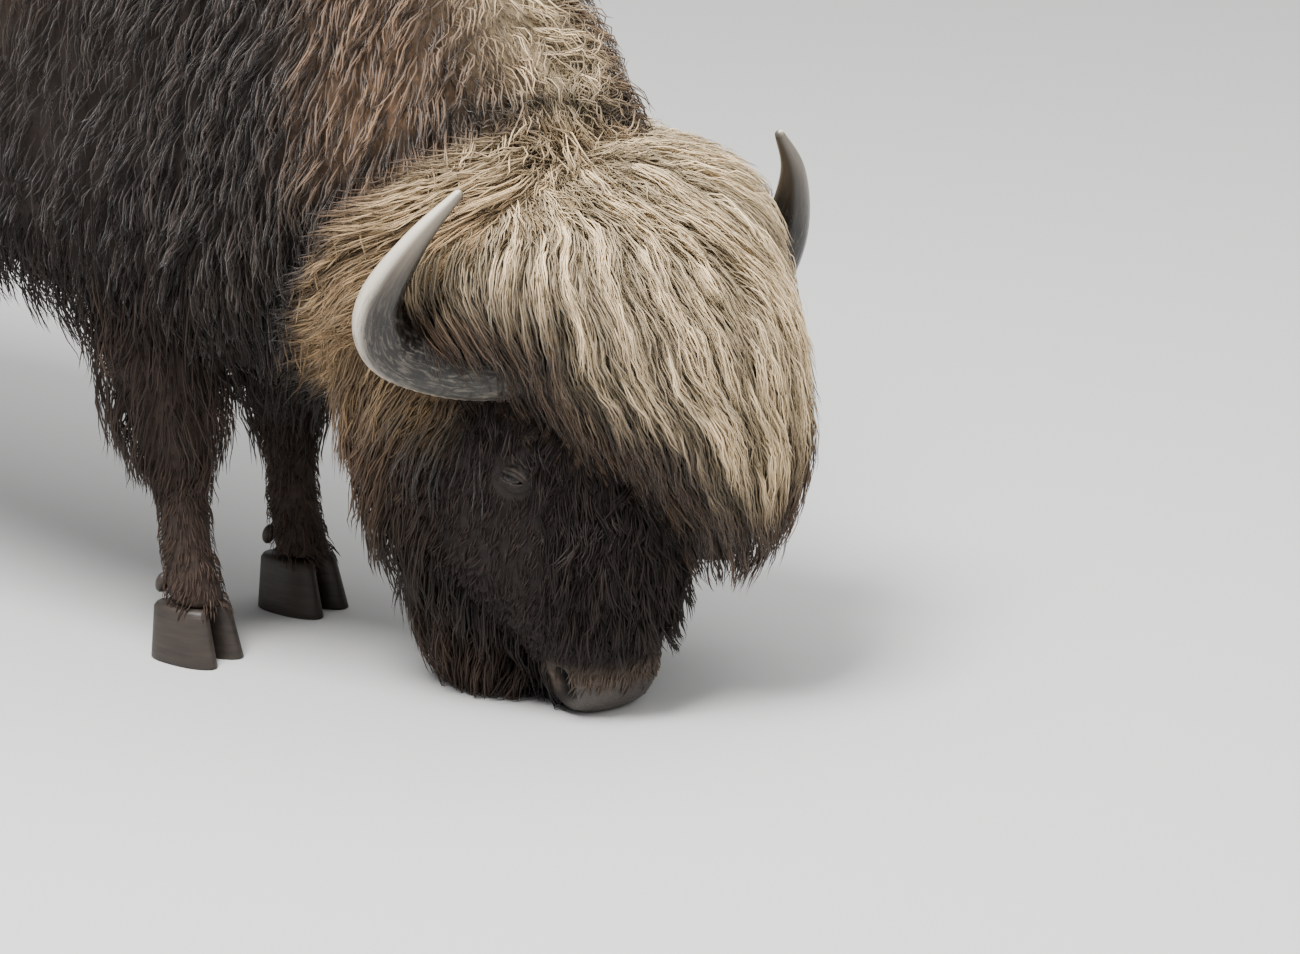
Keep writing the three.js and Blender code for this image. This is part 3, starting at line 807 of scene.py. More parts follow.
def horn_material():
    """Horn, worn and polished: a pale glossy tip, a middle mottled with dark flakes and pale scratches, a
    duller grey root and fine grain lengthwise."""
    material, tree, shader = new_material("polished_horn", {"Specular IOR Level": 0.4})
    lock = add(tree, "UVMap", {"uv_map": "lock"})
    shade = add(tree, "Attribute", {"attribute_name": "coat"})
    reach = add(tree, "SeparateXYZ", {}, {"Vector": lock}).outputs["Y"]
    # u runs round the horn and v along its 0.45 m: grain 1.5 mm wide and 60 mm long.
    grain_map = add(tree, "Mapping", {"Scale": (150, 7, 1)}, {"Vector": lock})
    grain = add(tree, "TexNoise", {"Scale": 1.0, "Detail": 4.0, "Roughness": 0.6}, {"Vector": grain_map})
    # Flakes and scratches 5 mm wide and 25 mm long.
    scale_map = add(tree, "Mapping", {"Scale": (46, 18, 1)}, {"Vector": lock})
    look = {"Scale": 1.0, "Detail": 5.0, "Roughness": 0.7, "Distortion": 0.6}
    scales = add(tree, "TexNoise", look, {"Vector": scale_map})
    flakes = add(tree, "MapRange", dict(zip(RANGE, (0.38, 0.5, 0.4, 1.0))), {"Value": scales})
    scratches = add(tree, "MapRange", dict(zip(RANGE, (0.5, 0.66, 0.0, 0.26))), {"Value": scales})
    # The mottle fades out towards the polished tip.
    worn = add(tree, "MapRange", dict(zip(RANGE, (0.55, 0.82, 1.0, 0.0))), {"Value": reach})
    mottled = add(tree, "Mix", {"data_type": "FLOAT", 2: 1.0}, {0: worn, 3: flakes})
    scratched = add(tree, "Math", {"operation": "MULTIPLY"}, {0: scratches, 1: worn})
    streaks = add(tree, "MapRange", dict(zip(RANGE, (0.3, 0.7, 0.8, 1.2))), {"Value": grain})
    both = add(tree, "Math", {"operation": "MULTIPLY"}, {0: mottled, 1: streaks})
    tinted = add(tree, "VectorMath", {"operation": "SCALE"}, {0: shade, "Scale": both})
    pale = {"data_type": "RGBA", 7: (*linear("#a39a8b"), 1)}
    colour = add(tree, "Mix", pale, {0: scratched, 6: tinted})
    gloss = add(tree, "MapRange", dict(zip(RANGE, (0.2, 0.7, 0.5, 0.24))), {"Value": reach})
    height = add(tree, "Mix", {"data_type": "FLOAT", 0: 0.5}, {2: grain, 3: scales})
    bump = add(tree, "Bump", {"Strength": 0.35, "Distance": 0.0012}, {"Height": height})
    wire(tree, shader, links={"Base Color": colour.outputs[2], "Roughness": gloss, "Normal": bump})
    return material


def hoof_material():
    """Hoof horn: near black and matt, with level growth rings."""
    material, tree, shader = new_material("hoof_horn", {"Roughness": 0.5, "Specular IOR Level": 0.4})
    place = add(tree, "TexCoord").outputs["Object"]
    # Growth rings about 6 mm apart.
    rings_map = add(tree, "Mapping", {"Scale": (20, 20, 160)}, {"Vector": place})
    rings = add(tree, "TexNoise", {"Scale": 1.0, "Detail": 3.0}, {"Vector": rings_map})
    tone = add(tree, "ValToRGB", {}, {"Fac": rings})
    tone.color_ramp.elements[0].color = (*linear("#161210"), 1)
    tone.color_ramp.elements[1].color = (*linear("#3d342d"), 1)
    bump = add(tree, "Bump", {"Strength": 0.5, "Distance": 0.002}, {"Height": rings})
    wire(tree, shader, links={"Base Color": tone, "Normal": bump})
    return material


def eye_material():
    """A wet eye: brown iris, dark pupil and rim from the vertex colours, under a clear glossy cornea."""
    look = {"Roughness": 0.12, "Specular IOR Level": 0.35, "Coat Weight": 0.15, "Coat Roughness": 0.03}
    material, tree, shader = new_material("wet_eye", look)
    wire(tree, shader, links={"Base Color": add(tree, "Attribute", {"attribute_name": "coat"})})
    return material


LONG_HAIR = hair_material("long_wavy_hair", 0.62, 5.0, 1.6, 0.32, 0.0012, sheen=0.15)
WOOL_HAIR = hair_material("woolly_hair", 0.75, 6.0, 3.0, 0.35, 0.0012, sheen=0.2)
DARK_HAIR = hair_material("dark_shaggy_hair", 0.6, 5.0, 1.6, 0.35, 0.001)
SHORT_HAIR = hair_material("short_flat_hair", 0.6, 4.0, 1.5, 0.25, 0.0006)
SKIN = skin_material()
KERATIN = horn_material()
HOOF = hoof_material()
WET_EYE = eye_material()

# ---- skin ----------------------------------------------------------------------------------------
VOXEL = 0.012  # metres
SMOOTHING = 5  # rounds of smoothing after the remesh
CREASE_ROUNDS = 60


def skin_from_parts():
    """The closed shells of all regions, melted together by a voxel remesh and then smoothed."""
    mesh = build_mesh("skin_parts", *capped([surface.points for surface in surfaces.values()]))
    source = in_scene("skin_parts", mesh)
    melt = source.modifiers.new("melt", "REMESH")
    melt.mode = "VOXEL"
    melt.voxel_size = VOXEL
    relax = source.modifiers.new("relax", "SMOOTH")
    relax.factor = 0.5
    relax.iterations = SMOOTHING
    graph = bpy.context.evaluated_depsgraph_get()
    result = bpy.data.meshes.new_from_object(source.evaluated_get(graph))
    bpy.data.objects.remove(source)
    result.name = "skin"
    return result


def fill_creases(mesh, share, rounds):
    """Moves each vertex towards the mean of its neighbours wherever that is outward, by its own share."""
    points, normals = mesh_points(mesh), mesh_points(mesh, "normal")
    edges = np.zeros(len(mesh.edges) * 2, np.int32)
    mesh.edges.foreach_get("vertices", edges)
    first, second = edges.reshape(-1, 2).T
    count = np.bincount(edges, minlength=len(points))[:, None]
    move = share(points)[:, None]
    for _ in range(rounds):
        total = np.stack(
            [
                np.bincount(first, points[second, axis], len(points))
                + np.bincount(second, points[first, axis], len(points))
                for axis in range(3)
            ],
            1,
        )
        step = total / count - points
        points = points + move * step * (dot(step, normals) > 0)
    move_to(mesh, points)


def thigh_join(points):
    """Where thigh and trunk run into one another."""
    x, y, z = in_animal(points)
    return 0.5 * ramp(y, 0.35, 0.5) * ramp(z, 0.5, 0.65) * ramp(np.abs(x), 0.07, 0.1)


def refine(mesh, wanted):
    """Splits every edge whose two ends are wanted(points) once."""
    work = bmesh.new()
    work.from_mesh(mesh)
    inside = wanted(mesh_points(mesh))
    work.verts.ensure_lookup_table()
    edges = [edge for edge in work.edges if inside[edge.verts[0].index] and inside[edge.verts[1].index]]
    bmesh.ops.subdivide_edges(work, edges=edges, cuts=1, use_grid_fill=True)
    bmesh.ops.triangulate(work, faces=[face for face in work.faces if len(face.verts) > 4])
    work.to_mesh(mesh)
    work.free()


def near_face(points):
    """Face and muzzle, in front of the cheeks."""
    x, behind, height = half_head(points)
    return (height < -0.05) & (height > -0.52) & (behind < 0.10) & (x < 0.22)


def near_features(points):
    """Round the nose, the mouth and each eye."""
    x, behind, height = half_head(points)
    from_eye = np.linalg.norm(np.stack([x, behind, height], 1) - EYE, axis=1)
    return ((height < -0.39) & (behind < 0.09)) | (from_eye < 0.055)


NOSTRIL = np.array([70, -20, -451]) * MM
MOUTH_START = np.array([8, -6, -499]) * MM
MOUTH_END = np.array([92, 72, -420]) * MM


def nostril(mirrored):
    """How far a point lies in a nostril's opening, and on its rim: an upright comma, curling back above."""
    offset = mirrored - NOSTRIL
    bend = offset[..., 1] - 6 * MM - 0.5 * ramp(offset[..., 2], -5 * MM, 24 * MM) * 12 * MM
    near = np.exp(-((offset[..., 0] / (30 * MM)) ** 4))
    shape = np.exp(-((offset[..., 2] / (23 * MM)) ** 4) - (bend / (10 * MM)) ** 2)
    rim = np.exp(-((offset[..., 2] / (32 * MM)) ** 4) - (bend / (20 * MM)) ** 2)
    return near * shape, near * rim


def sculpt_face(mesh):
    """Presses in nostrils and mouth line, and raises nose rim, brow, lip and the skin round each eye."""
    points, normals = mesh_points(mesh), mesh_points(mesh, "normal")
    mirrored = np.stack(half_head(points), 1)
    hole, rim = nostril(mirrored)
    push = 7 * MM * rim - 30 * MM * hole
    # The mouth is a straight groove up each side, and the lip above it swells.
    along = MOUTH_END - MOUTH_START
    share = np.clip(((mirrored - MOUTH_START)[:, 1:] @ along[1:]) / (along[1:] @ along[1:]), 0, 1)
    from_line = np.linalg.norm((mirrored - MOUTH_START - share[:, None] * along)[:, 1:], axis=1)
    fade = (1 - ramp(share, 0.85, 1.0)) * (mirrored[:, 2] < -0.38)
    groove, lip = [np.exp(-((from_line / (width * MM)) ** 2)) for width in (4, 14)]
    push += fade * (-6 * MM * groove + 3 * MM * lip)
    # A low brow above each eye.
    eye = mirrored - EYE
    brow = np.exp(-(eye[:, 1] ** 2 / (30 * MM) ** 2) - (eye[:, 2] - 34 * MM) ** 2 / (13 * MM) ** 2)
    push += 6 * MM * brow * (mirrored[:, 0] > 0.06)
    # The skin swells to meet the outer edge of the lids.
    from_ball = np.linalg.norm(eye, axis=1)
    push += 5 * MM * np.exp(-(((from_ball - 27 * MM) / (8 * MM)) ** 2))
    moved = points + normals * push[:, None]
    floor_side = moved[:, 2] < 0
    moved[floor_side, 2] = 0
    move_to(mesh, moved)
    return hole


def bare_skin(points):
    """1 on the nose pad between and round the nostrils, 0 under hair."""
    x, behind, height = half_head(points)
    return (1 - ramp(height, -0.458, -0.440)) * (1 - ramp(behind, -0.02, 0.004)) * (1 - ramp(x, 0.062, 0.08))


skin_mesh = skin_from_parts()
fill_creases(skin_mesh, thigh_join, CREASE_ROUNDS)
refine(skin_mesh, near_face)
refine(skin_mesh, near_features)
hollow = sculpt_face(skin_mesh)
skin_points = mesh_points(skin_mesh)
bare = bare_skin(skin_points)
UNDERFUR = 0.68  # underfur is this share of the coat's brightness, partly its own darker tone and partly painted shade under the coat
SHORT_HAIR_GAP_SHADE = 0.25  # and darker by this share behind the cape: painted shade between the short hairs
# Painted shade inside the nostrils: the skin there is darkened by this share.
NOSTRIL_PAINTED_SHADE = 0.97
skin_tone = marking(skin_points)
short = ramp(skin_points[:, 1] - FEET[1], 0.2, 0.5)
skin_tone = skin_tone * (1 - SHORT_HAIR_GAP_SHADE * short)[:, None]
skin_tone = mix(skin_tone, SHADE["nose"], bare)
skin_tone = skin_tone * (UNDERFUR + (1 - UNDERFUR) * bare)[:, None]
# Painted shade in the nostrils' openings.
skin_tone = skin_tone * (1 - NOSTRIL_PAINTED_SHADE * ramp(hollow, 0.15, 0.5))[:, None]
paint(skin_mesh, skin_tone)
mark_bare(skin_mesh, bare)
skin_mesh.polygons.foreach_set("use_smooth", np.ones(len(skin_mesh.polygons), bool))
skin = link("skin", skin_mesh, SKIN)
FLESH = [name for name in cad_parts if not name.startswith(("horn", "hoof", "eye"))]
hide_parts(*FLESH)

# ---- combing and locks -----------------------------------------------------------------------------
STEPS = 12  # points on the path each lock is laid along
RIDGE_STEPS = 26  # points on the line of a ridge
OVERHANG = 18 * MM  # how far hair runs on past the end of its surface
FOLD_HEIGHT = 8 * MM  # of the rolls round the neck
LONGEST = 1.2  # the longest lock, in lengths of its kind
YIELD_SHARE = 0.6  # a lock that yields ends at this share of the other region's coat depth
YIELD_GAP = 4 * MM  # and this much further out
CLEARANCE = 2 * MM  # between a lock and the skin of another region
ROOT_DEPTH = 3 * MM  # how far under the skin a lock starts
RAGGED = (-0.045, 0.005)  # how far from the line where hair is trimmed each lock ends, in metres
SAG = 1.2  # weight of the fall against a lock's own heading, where it hangs free
RISE = 2.2  # a lock reaches its layer of the coat after 1 / RISE of its length
KEPT_OUT = 0.3  # locks are kept out of this share of another region's coat


def comb(surface, u, v, flow, length, steps):
    """Walks from each root along flow(place, normal), held to the surface: each step solves for the
    change in column and row whose move matches the flow, and past the last row it runs on in the air.
    Also returns how many steps each walk takes before it overhangs too far."""
    rows = surface.points.shape[0]
    step = length / (steps - 1)
    free = np.zeros((len(u), 3))
    places, normals, depths, loose = [], [], [], []
    u, v = u.copy(), v.copy()
    for _ in range(steps):
        place = surface.sample(surface.points, u, v) + free
        normal = unit(surface.sample(surface.normals, u, v))
        around = surface.sample(surface.around, u, v)
        along = surface.sample(surface.along, u, v)
        places.append(place)
        normals.append(normal)
        depths.append(surface.sample(surface.depth, u, v))
        loose.append(np.linalg.norm(free, axis=1) > OVERHANG)
        want = flow(place, normal)
        want = unit(want - dot(want, normal) * normal) * step
        a, b, c = dot(around, around), dot(around, along), dot(along, along)
        e, f = dot(want, around), dot(want, along)
        det = np.maximum(a * c - b * b, 1e-12)
        move_u = ((c * e - b * f) / det)[:, 0]
        move_v = ((a * f - b * e) / det)[:, 0]
        u = u + np.clip(move_u, -2, 2)
        new_v = v + np.clip(move_v, -2, 2)
        v = np.clip(new_v, 0, rows - 1.001)
        free = free + along * (new_v - v)[:, None]
    loose = np.stack(loose, 1)
    reach = np.where(loose.any(1), loose.argmax(1), steps - 1)
    return np.stack(places, 1), np.stack(normals, 1), np.stack(depths, 1), reach


def buried(points, others, limit):
    """Whether each point lies deeper than limit inside another region."""
    inside = np.zeros(points.shape[:-1], bool)
    for other in others:
        surface = obstacles[other]
        inside |= nearest(surface.points, surface.normals, points)[1] < -limit
    return inside


def clear_of(places, normals, others, share):
    """Lifts points out of other regions, and out of the given share of their coat's depth."""
    for other in others:
        surface = obstacles[other]
        index, distance = nearest(surface.points, surface.normals, places)
        clear = CLEARANCE + share * surface.depth.reshape(-1)[index]
        lift = np.maximum(clear - distance, 0)[..., None]
        outward = surface.normals.reshape(-1, 3)[index]
        places = places + lift * outward
        normals = unit(normals + outward * np.minimum(lift / (10 * MM), 1))
    return places, normals


def hang(paths, upward):
    """Where a path has turned under its region it leaves it, and falls on by its own weight."""
    out = [paths[:, 0]]
    for at in range(1, paths.shape[1]):
        step = paths[:, at] - paths[:, at - 1]
        size = np.linalg.norm(step, axis=1, keepdims=True)
        loose = ramp(-upward[:, at - 1, 2:], 0.0, 0.45)
        fall = unit(unit(step) * np.array([1, 1, 0.5]) + np.array([0, 0, -SAG])) * size
        out.append(out[-1] + step * (1 - loose) + fall * loose)
    return np.stack(out, 1)


def along_path(field, position):
    """Values at fractional steps along each path."""
    position = np.clip(position, 0, field.shape[1] - 1.001)
    i = position.astype(int)
    t = (position - i)[..., None]
    rows = np.arange(len(field))[:, None]
    return field[rows, i] * (1 - t) + field[rows, i + 1] * t


def locks(surface_name, count, flow, weight, others=(), **spec):
    """Locks rooted evenly over a region. Each is combed along the flow, then drawn towards the nearest of
    each set of ridge lines, so that locks gather in tufts and tufts in ridges with creases between. It
    rises from the skin to its own layer of the coat, highest on the ridge, and waves in step with its
    tuft. A set of ridges: locks to each, run in lock lengths, half spacing, pull, height, painted shadow
    between."""
    surface = surfaces[surface_name]
    u, v = surface.seeds(2 * count, weight)
    open_air = ~buried(surface.sample(surface.points, u, v), others, spec.get("sink", 20 * MM))
    chosen = np.flatnonzero(open_air)
    chosen = np.sort(RNG.permutation(chosen)[:count])
    u, v = u[chosen], v[chosen]
    count = len(u)
    longest = LONGEST * spec["length"]
    places, normals, depths, reach = comb(surface, u, v, flow, longest, STEPS)
    stopped = np.zeros(places.shape[:2], bool)
    for other in spec.get("yields", ()):
        rival = obstacles[other]
        index, distance = nearest(rival.points, rival.normals, places)
        stopped |= distance < YIELD_SHARE * rival.depth.reshape(-1)[index] + YIELD_GAP
    if surface_name == "head":
        stopped |= off_eye(places) < 0.5
    if spec.get("trim"):
        stopped |= spec["trim"](places) < RNG.uniform(*RAGGED, count)[:, None]
    reach = np.minimum(reach, np.where(stopped.any(1), stopped.argmax(1), STEPS))
    keep = reach > 2
    u, v, places, normals, depths, reach = [field[keep] for field in (u, v, places, normals, depths, reach)]
    count = len(u)

    points = spec["points"]
    t = np.linspace(0, 1, points)[None]
    crown, crease = 0, 1
    for rank, (per_ridge, run, spread, gather, ridge_height, shadow) in enumerate(spec["ridges"]):
        ridges = max(4, count // per_ridge)
        ridge_u, ridge_v = surface.seeds(ridges, weight)
        lines, _, _, line_reach = comb(surface, ridge_u, ridge_v, flow, spec["length"] * run, RIDGE_STEPS)
        line_step = spec["length"] * run / (RIDGE_STEPS - 1)
        usable = max(1, RIDGE_STEPS - int(longest / line_step) - 1)
        hit = closest(places[:, 0], lines[:, :usable].reshape(-1, 3))
        ridge, at_line = hit // usable, hit % usable
        line_run = (line_reach[ridge] - at_line) * line_step
        if rank == 0:
            own = spec["length"] * RNG.uniform(0.65, 1.15, ridges)[ridge] * RNG.uniform(0.8, 1.1, count)
            own = np.minimum(own, longest * reach / (STEPS - 1))
            own = np.maximum(np.minimum(own, np.maximum(line_run, 0.4 * own)), 0.25 * spec["length"])
            arc = own[:, None] * t
            at = arc / (longest / (STEPS - 1))
            middle = along_path(places, at)
            upward = unit(along_path(normals, at))
            depth = along_path(depths, at)[..., 0]
            side = unit(np.cross(upward, unit(np.gradient(middle, axis=1))))
            phase = RNG.uniform(0, 2 * math.pi, ridges)[ridge]
            phase = phase + 2 * math.pi * at_line * line_step / spec["wavelength"]
            stray, lift = RNG.normal(0, 0.8, (2, ridges))[:, ridge] + RNG.normal(0, 0.6, (2, count))
            light = RNG.normal(1, spec.get("patchy", 0.08), ridges)[ridge] * RNG.normal(1, 0.09, count)
        gap = along_path(lines[ridge], at_line[:, None] + arc / line_step) - middle
        across = dot(gap[:, 0], side[:, 0])[:, 0]
        near = np.clip(np.abs(across) / spread, 0, 1)
        pull = gather * ramp(t, -0.2, 0.9) * np.exp(-((across / (2.5 * spread)) ** 2))[:, None]
        pull = pull * (line_run > 0.5 * own)[:, None]
        middle = middle + gap * pull[..., None]
        crown = crown + ridge_height * (1 - near**2)
        crease = crease * (1 - shadow * near**2)
    if spec.get("hangs"):
        middle = hang(middle, upward)

    layer = RNG.uniform(spec.get("lowest", 0.25), 1.0, count)
    strength = spec["curl"](middle[:, 0]) if "curl" in spec else np.ones(count)
    swing = spec["amplitude"] * strength[:, None] * (0.3 + 0.7 * t)
    phase = phase + spec["unruly"] * RNG.normal(0, 1, count)
    wave = 2 * math.pi * arc / spec["wavelength"] + phase[:, None]
    lift = spec.get("flare", 0) + spec["lift"] * lift
    offset = swing * np.sin(wave) + spec["stray"] * stray[:, None] * t**2
    rise = 1 - (1 - np.minimum(t * RISE, 1)) ** 2
    fold = spec["folds"](v, places[:, 0]) if "folds" in spec else np.zeros(count)
    crown = crown + FOLD_HEIGHT * fold
    height = depth * (1 - spec.get("room", 0.3)) * layer[:, None] + crown[:, None]
    height = height * rise - ROOT_DEPTH * (1 - rise)
    height = height + 0.5 * swing * np.cos(wave) * rise
    height = height + spec.get("base", 0) * rise + lift[:, None] * t**2
    height = np.minimum(height, depth + spec["beyond"])
    paths = middle + offset[..., None] * side + height[..., None] * upward
    paths, upward = clear_of(paths, upward, others, KEPT_OUT)
    # Hair that reaches the floor spreads out on it.
    floor = (2 + 6 * RNG.random(count)[:, None]) * MM
    paths[..., 2] = np.maximum(paths[..., 2], floor)

    tone = REGION_SHADE[surface_name](middle)
    # Painted shade: locks in the coat's lower layers and between ridges are darker, and the neck rolls are
    # lighter on top and darker in their troughs.
    light = light * (0.75 + 0.25 * layer) * crease * (1 + 0.5 * fold)
    root_light, tip_light = spec.get("root_light", 0.6), spec["tip_light"]
    fade = root_light + (1 - root_light) * ramp(t, 0, 0.35) + (tip_light - 1) * ramp(t, 0.6, 1.0)
    colour = tone * (light[:, None] * fade)[..., None]
    width = spec["width"] * RNG.uniform(0.7, 1.3, count)
    return paths, upward, width, colour, surface.bake_place(u, v)


BAKE_PATCH = 0.003  # side of a lock's own patch on the unwrap
UV_SHIFTS = 40  # locks start this many pattern lengths apart at most, so that no two look the same
FLATNESS = 0.6  # a lock's thickness as a share of its width


def lock_mesh(name, bundle):
    """Three-sided tapering tubes on whole arrays: rings of three points on each path but its last, one
    point at the tip, half width = width * (0.6 + 0.9t - 1.5t^3), and a small face closing each root."""
    paths, upward, width, colour, place = bundle
    count, points = paths.shape[:2]
    heading = unit(np.gradient(paths, axis=1))
    side = unit(np.cross(upward, heading))
    up = np.cross(heading, side)
    t = np.linspace(0, 1, points)
    taper = 0.6 + 0.9 * t - 1.5 * t**3
    half = width[:, None] * taper
    angle = np.radians([90, 210, 330])
    rings = (
        paths[:, :-1, None]
        + (half[:, :-1, None] * np.cos(angle))[..., None] * side[:, :-1, None]
        + (FLATNESS * half[:, :-1, None] * np.sin(angle))[..., None] * up[:, :-1, None]
    )
    each = 3 * (points - 1) + 1
    vertices = np.concatenate([rings.reshape(count, -1, 3), paths[:, -1:]], 1).reshape(-1, 3)
    shades = np.concatenate([np.repeat(colour[:, :-1], 3, 1), colour[:, -1:]], 1).reshape(-1, 3)

    ring, corner = np.meshgrid(np.arange(points - 2), np.arange(3), indexing="ij")
    after = (corner + 1) % 3
    quads = np.stack([ring * 3 + corner, ring * 3 + after, ring * 3 + 3 + after, ring * 3 + 3 + corner], -1)
    quad_u = np.stack([corner, corner + 1, corner + 1, corner], -1) / 3
    quad_v = np.stack([ring, ring, ring + 1, ring + 1], -1) / (points - 1)
    last = 3 * (points - 2)
    m = np.arange(3)
    tips = np.stack([last + m, last + (m + 1) % 3, np.full(3, each - 1)], -1)
    tip_u = np.stack([m, m + 1, m + 0.5], -1) / 3
    tip_v = np.tile([points - 2, points - 2, points - 1], (3, 1)) / (points - 1)
    corners = np.concatenate([quads.ravel(), tips.ravel(), [2, 1, 0]])
    local_u = np.concatenate([quad_u.ravel(), tip_u.ravel(), [0.7, 0.35, 0]])
    local_v = np.concatenate([quad_v.ravel(), tip_v.ravel(), [0, 0, 0]])
    sizes = np.concatenate([np.full(quads.size // 4, 4), np.full(4, 3)])

    every = (np.arange(count)[:, None] * each + corners[None]).ravel()
    mesh = build_mesh(name, vertices, every, np.tile(sizes, count))
    paint(mesh, np.clip(shades, 0.001, 1))
    chance = RNG.random((count, 2, 1)) * UV_SHIFTS
    lock_uv = np.stack([local_u[None] + np.floor(chance[:, 0]), local_v[None] + chance[:, 1]], -1)
    bake_uv = place[:, None] + (np.stack([local_u, local_v], -1)[None] - 0.5) * BAKE_PATCH
    unwrap(mesh, "OFBake", bake_uv)
    unwrap(mesh, "lock", lock_uv)
    return mesh


# ---- the lie of the coat -----------------------------------------------------------------------------


def wander(points, size):
    """A smooth random direction that changes over about size: six sine waves on random slants."""
    chance = np.random.default_rng(int(size * 1000))
    total = 0
    for _ in range(6):
        slant, turn = unit(chance.normal(0, 1, 3)), unit(chance.normal(0, 1, 3))
        total = total + np.sin(points @ slant * (2 * math.pi / size) + chance.uniform(0, 6))[..., None] * turn
    return total / 6**0.5


def everywhere(points):
    """Hair all over."""
    return np.ones(points.shape[:-1])


def crown_flow(place, normal):
    """Away from the whorl on the crown, and down."""
    away = unit(place - from_head(WHORL))
    return away + np.array([0, 0, -0.3]) + 0.3 * wander(place, 0.11)


def body_flow(place, normal):
    """Down both sides from the midline in front, and backward along the flank and rump."""
    x, y = place[..., :1] - FEET[0], place[..., 1:2] - FEET[1]
    outward = np.tanh(x / 0.05) * np.array([1.0, 0, 0]) * ramp(normal[..., 2:], 0.05, 0.7)
    back = ramp(y, 0.15, 0.75)
    lie = outward + back * np.array([0, 1.1, 0]) + np.array([0, 0.12, -1.0]) * (1 - 0.55 * back)
    return lie + (0.4 - 0.3 * back) * wander(place, 0.16)


def ruff_flow(place, normal):
    """On from the crown, away from its whorl, over the sides of the neck."""
    return unit(place - from_head(WHORL)) + np.array([0, 0, -0.1]) + 0.3 * wander(place, 0.12)


def down_flow(place, normal):
    """Down, and a little backward."""
    return np.array([0, 0.12, -1.0]) + 0.2 * wander(place, 0.12)


BEHIND = unit(TURN @ np.array([0, 1.0, 0]))  # the head's own backward direction
FAN_ROOT = 0.22  # how far the hair behind each horn spreads from, to the side of the head's middle


def cheek_flow(place, normal):
    """Back and down from the face over cheek and jaw."""
    return 0.45 * BEHIND + np.array([0, 0, -1.0]) + 0.25 * wander(place, 0.12)


def fan_flow(place, normal):
    """Out from behind each horn's root."""
    local = to_head(place)
    root = np.sign(local[..., :1]) * FAN_ROOT * LEFT
    away = unit(local - root)
    return away @ TURN.T + 0.15 * wander(place, 0.12)


def crown_weight(points):
    """Over the hem only, and thinner on the tip that hangs over the brow."""
    return (0.25 + 0.75 * ramp(to_head(points)[..., 2], -0.26, -0.1)) * (above_hem(points) > -0.01)


def nape_weight(points):
    """Neck, hump and shoulders, densest towards the head."""
    _, y, z = in_animal(points)
    dense = 0.35 + 0.65 * (1 - ramp(y, -0.3, 0.1))
    return (1 - ramp(y, 0.3, 0.6)) * dense * ramp(z, 0.42, 0.6) * (1 - ramp(ruff_edge(points), 0.0, 0.03))


def ruff_weight(points):
    """Inside the ruff's edge and above the throat."""
    return ramp(ruff_edge(points), -0.01, 0.02) * ramp(points[..., 2], 0.42, 0.5)


def ruff_end(points):
    """Height over the line where the ruff's hair ends."""
    return ruff_edge(points) - 0.012


def bridge_weight(points):
    """The bridge of the nose and the brow, which longer hair hangs over."""
    x, behind, height = half_head(points)
    shown = (above_hem(points) < 0.05) * (height > -0.38) * (behind < 0.02)
    edge = np.interp(height, [-0.14, -0.08], [0.12, 0.2])
    return shown * (1 - ramp(x, edge - 0.03, edge))


def round_whorl(points, reach):
    """1 at the whorl, falling off as exp(-(distance / reach)^2)."""
    return np.exp(-((np.linalg.norm(points - from_head(WHORL), axis=-1) / reach) ** 2))


def whorl_weight(points):
    """Within about a hand of the whorl."""
    return round_whorl(points, 0.09)


def neck_folds(v, points):
    """Rolls round the neck, one for each row of its surface, that die out over the shoulders."""
    y = points[..., 1] - FEET[1]
    return np.cos(2 * math.pi * v + 2.5 * wander(points, 0.18)[..., 0]) * (1 - ramp(y, -0.2, 0.1))


def nape_curl(points):
    """Curliest along the crest of the neck and hump."""
    return 0.7 + 1.2 * np.exp(-(((points[..., 0] - NECK_MIDDLE) / 0.14) ** 2))


def crown_curl(points):
    """Curliest round the whorl."""
    return 0.8 + 0.9 * round_whorl(points, 0.12)


def chest_weight(points):
    """Lower shoulders and brisket."""
    _, y, z = in_animal(points)
    return (1 - ramp(y, 0.35, 0.6)) * (1 - ramp(z, 0.6, 0.85))


def flank_weight(points):
    """Behind the cape."""
    return ramp(points[..., 1] - FEET[1], 0.3, 0.55)


def face_weight(points):
    """Short hair over the face, clear of the nose pad and of the nostrils and a strip above each."""
    x, behind, height = half_head(points)
    bare = (height < -0.452) & (behind < -0.005) & (x < 0.07)
    for above in (0, 10 * MM, 20 * MM, 28 * MM):
        bare |= nostril(np.stack([x, behind, height - above], -1))[0] > 0.1
    shown = (above_hem(points) < 0.06) * (height < -0.03) * (height > -0.495) * ~bare
    return (1 - ramp(behind, 0.06, 0.14)) * shown


def cheek_weight(points):
    """Cheek and jaw; lower down it reaches further forward."""
    _, behind, height = half_head(points)
    start = np.interp(height, [-0.4, -0.25], [-0.03, 0.03])
    return ramp(behind, start, start + 0.07) * (height > -0.47) * (height < -0.02)


def fan_weight(points):
    """Round the ears and behind the horns."""
    _, behind, height = half_head(points)
    return ramp(behind, -0.02, 0.05) * ramp(height, -0.14, -0.04) * (height < 0.25)


def chaps_weight(points):
    """The shaggy upper fore leg."""
    return ramp(points[..., 2], 0.24, 0.32)


def shin_weight(points):
    """The short-haired lower fore leg."""
    return 1 - ramp(points[..., 2], 0.26, 0.32)


def dock_weight(points):
    """The tail above its tuft."""
    return ramp(points[..., 2], 0.74, 0.82)


def tuft_weight(points):
    """The tail's tuft."""
    return 1 - dock_weight(points)


QUICK = 1.0  # a rough look while trying things out


def amount(count):
    """A number of locks, fewer in a rough look."""
    return int(count * QUICK)


HORNS = ("horn_left", "horn_right")
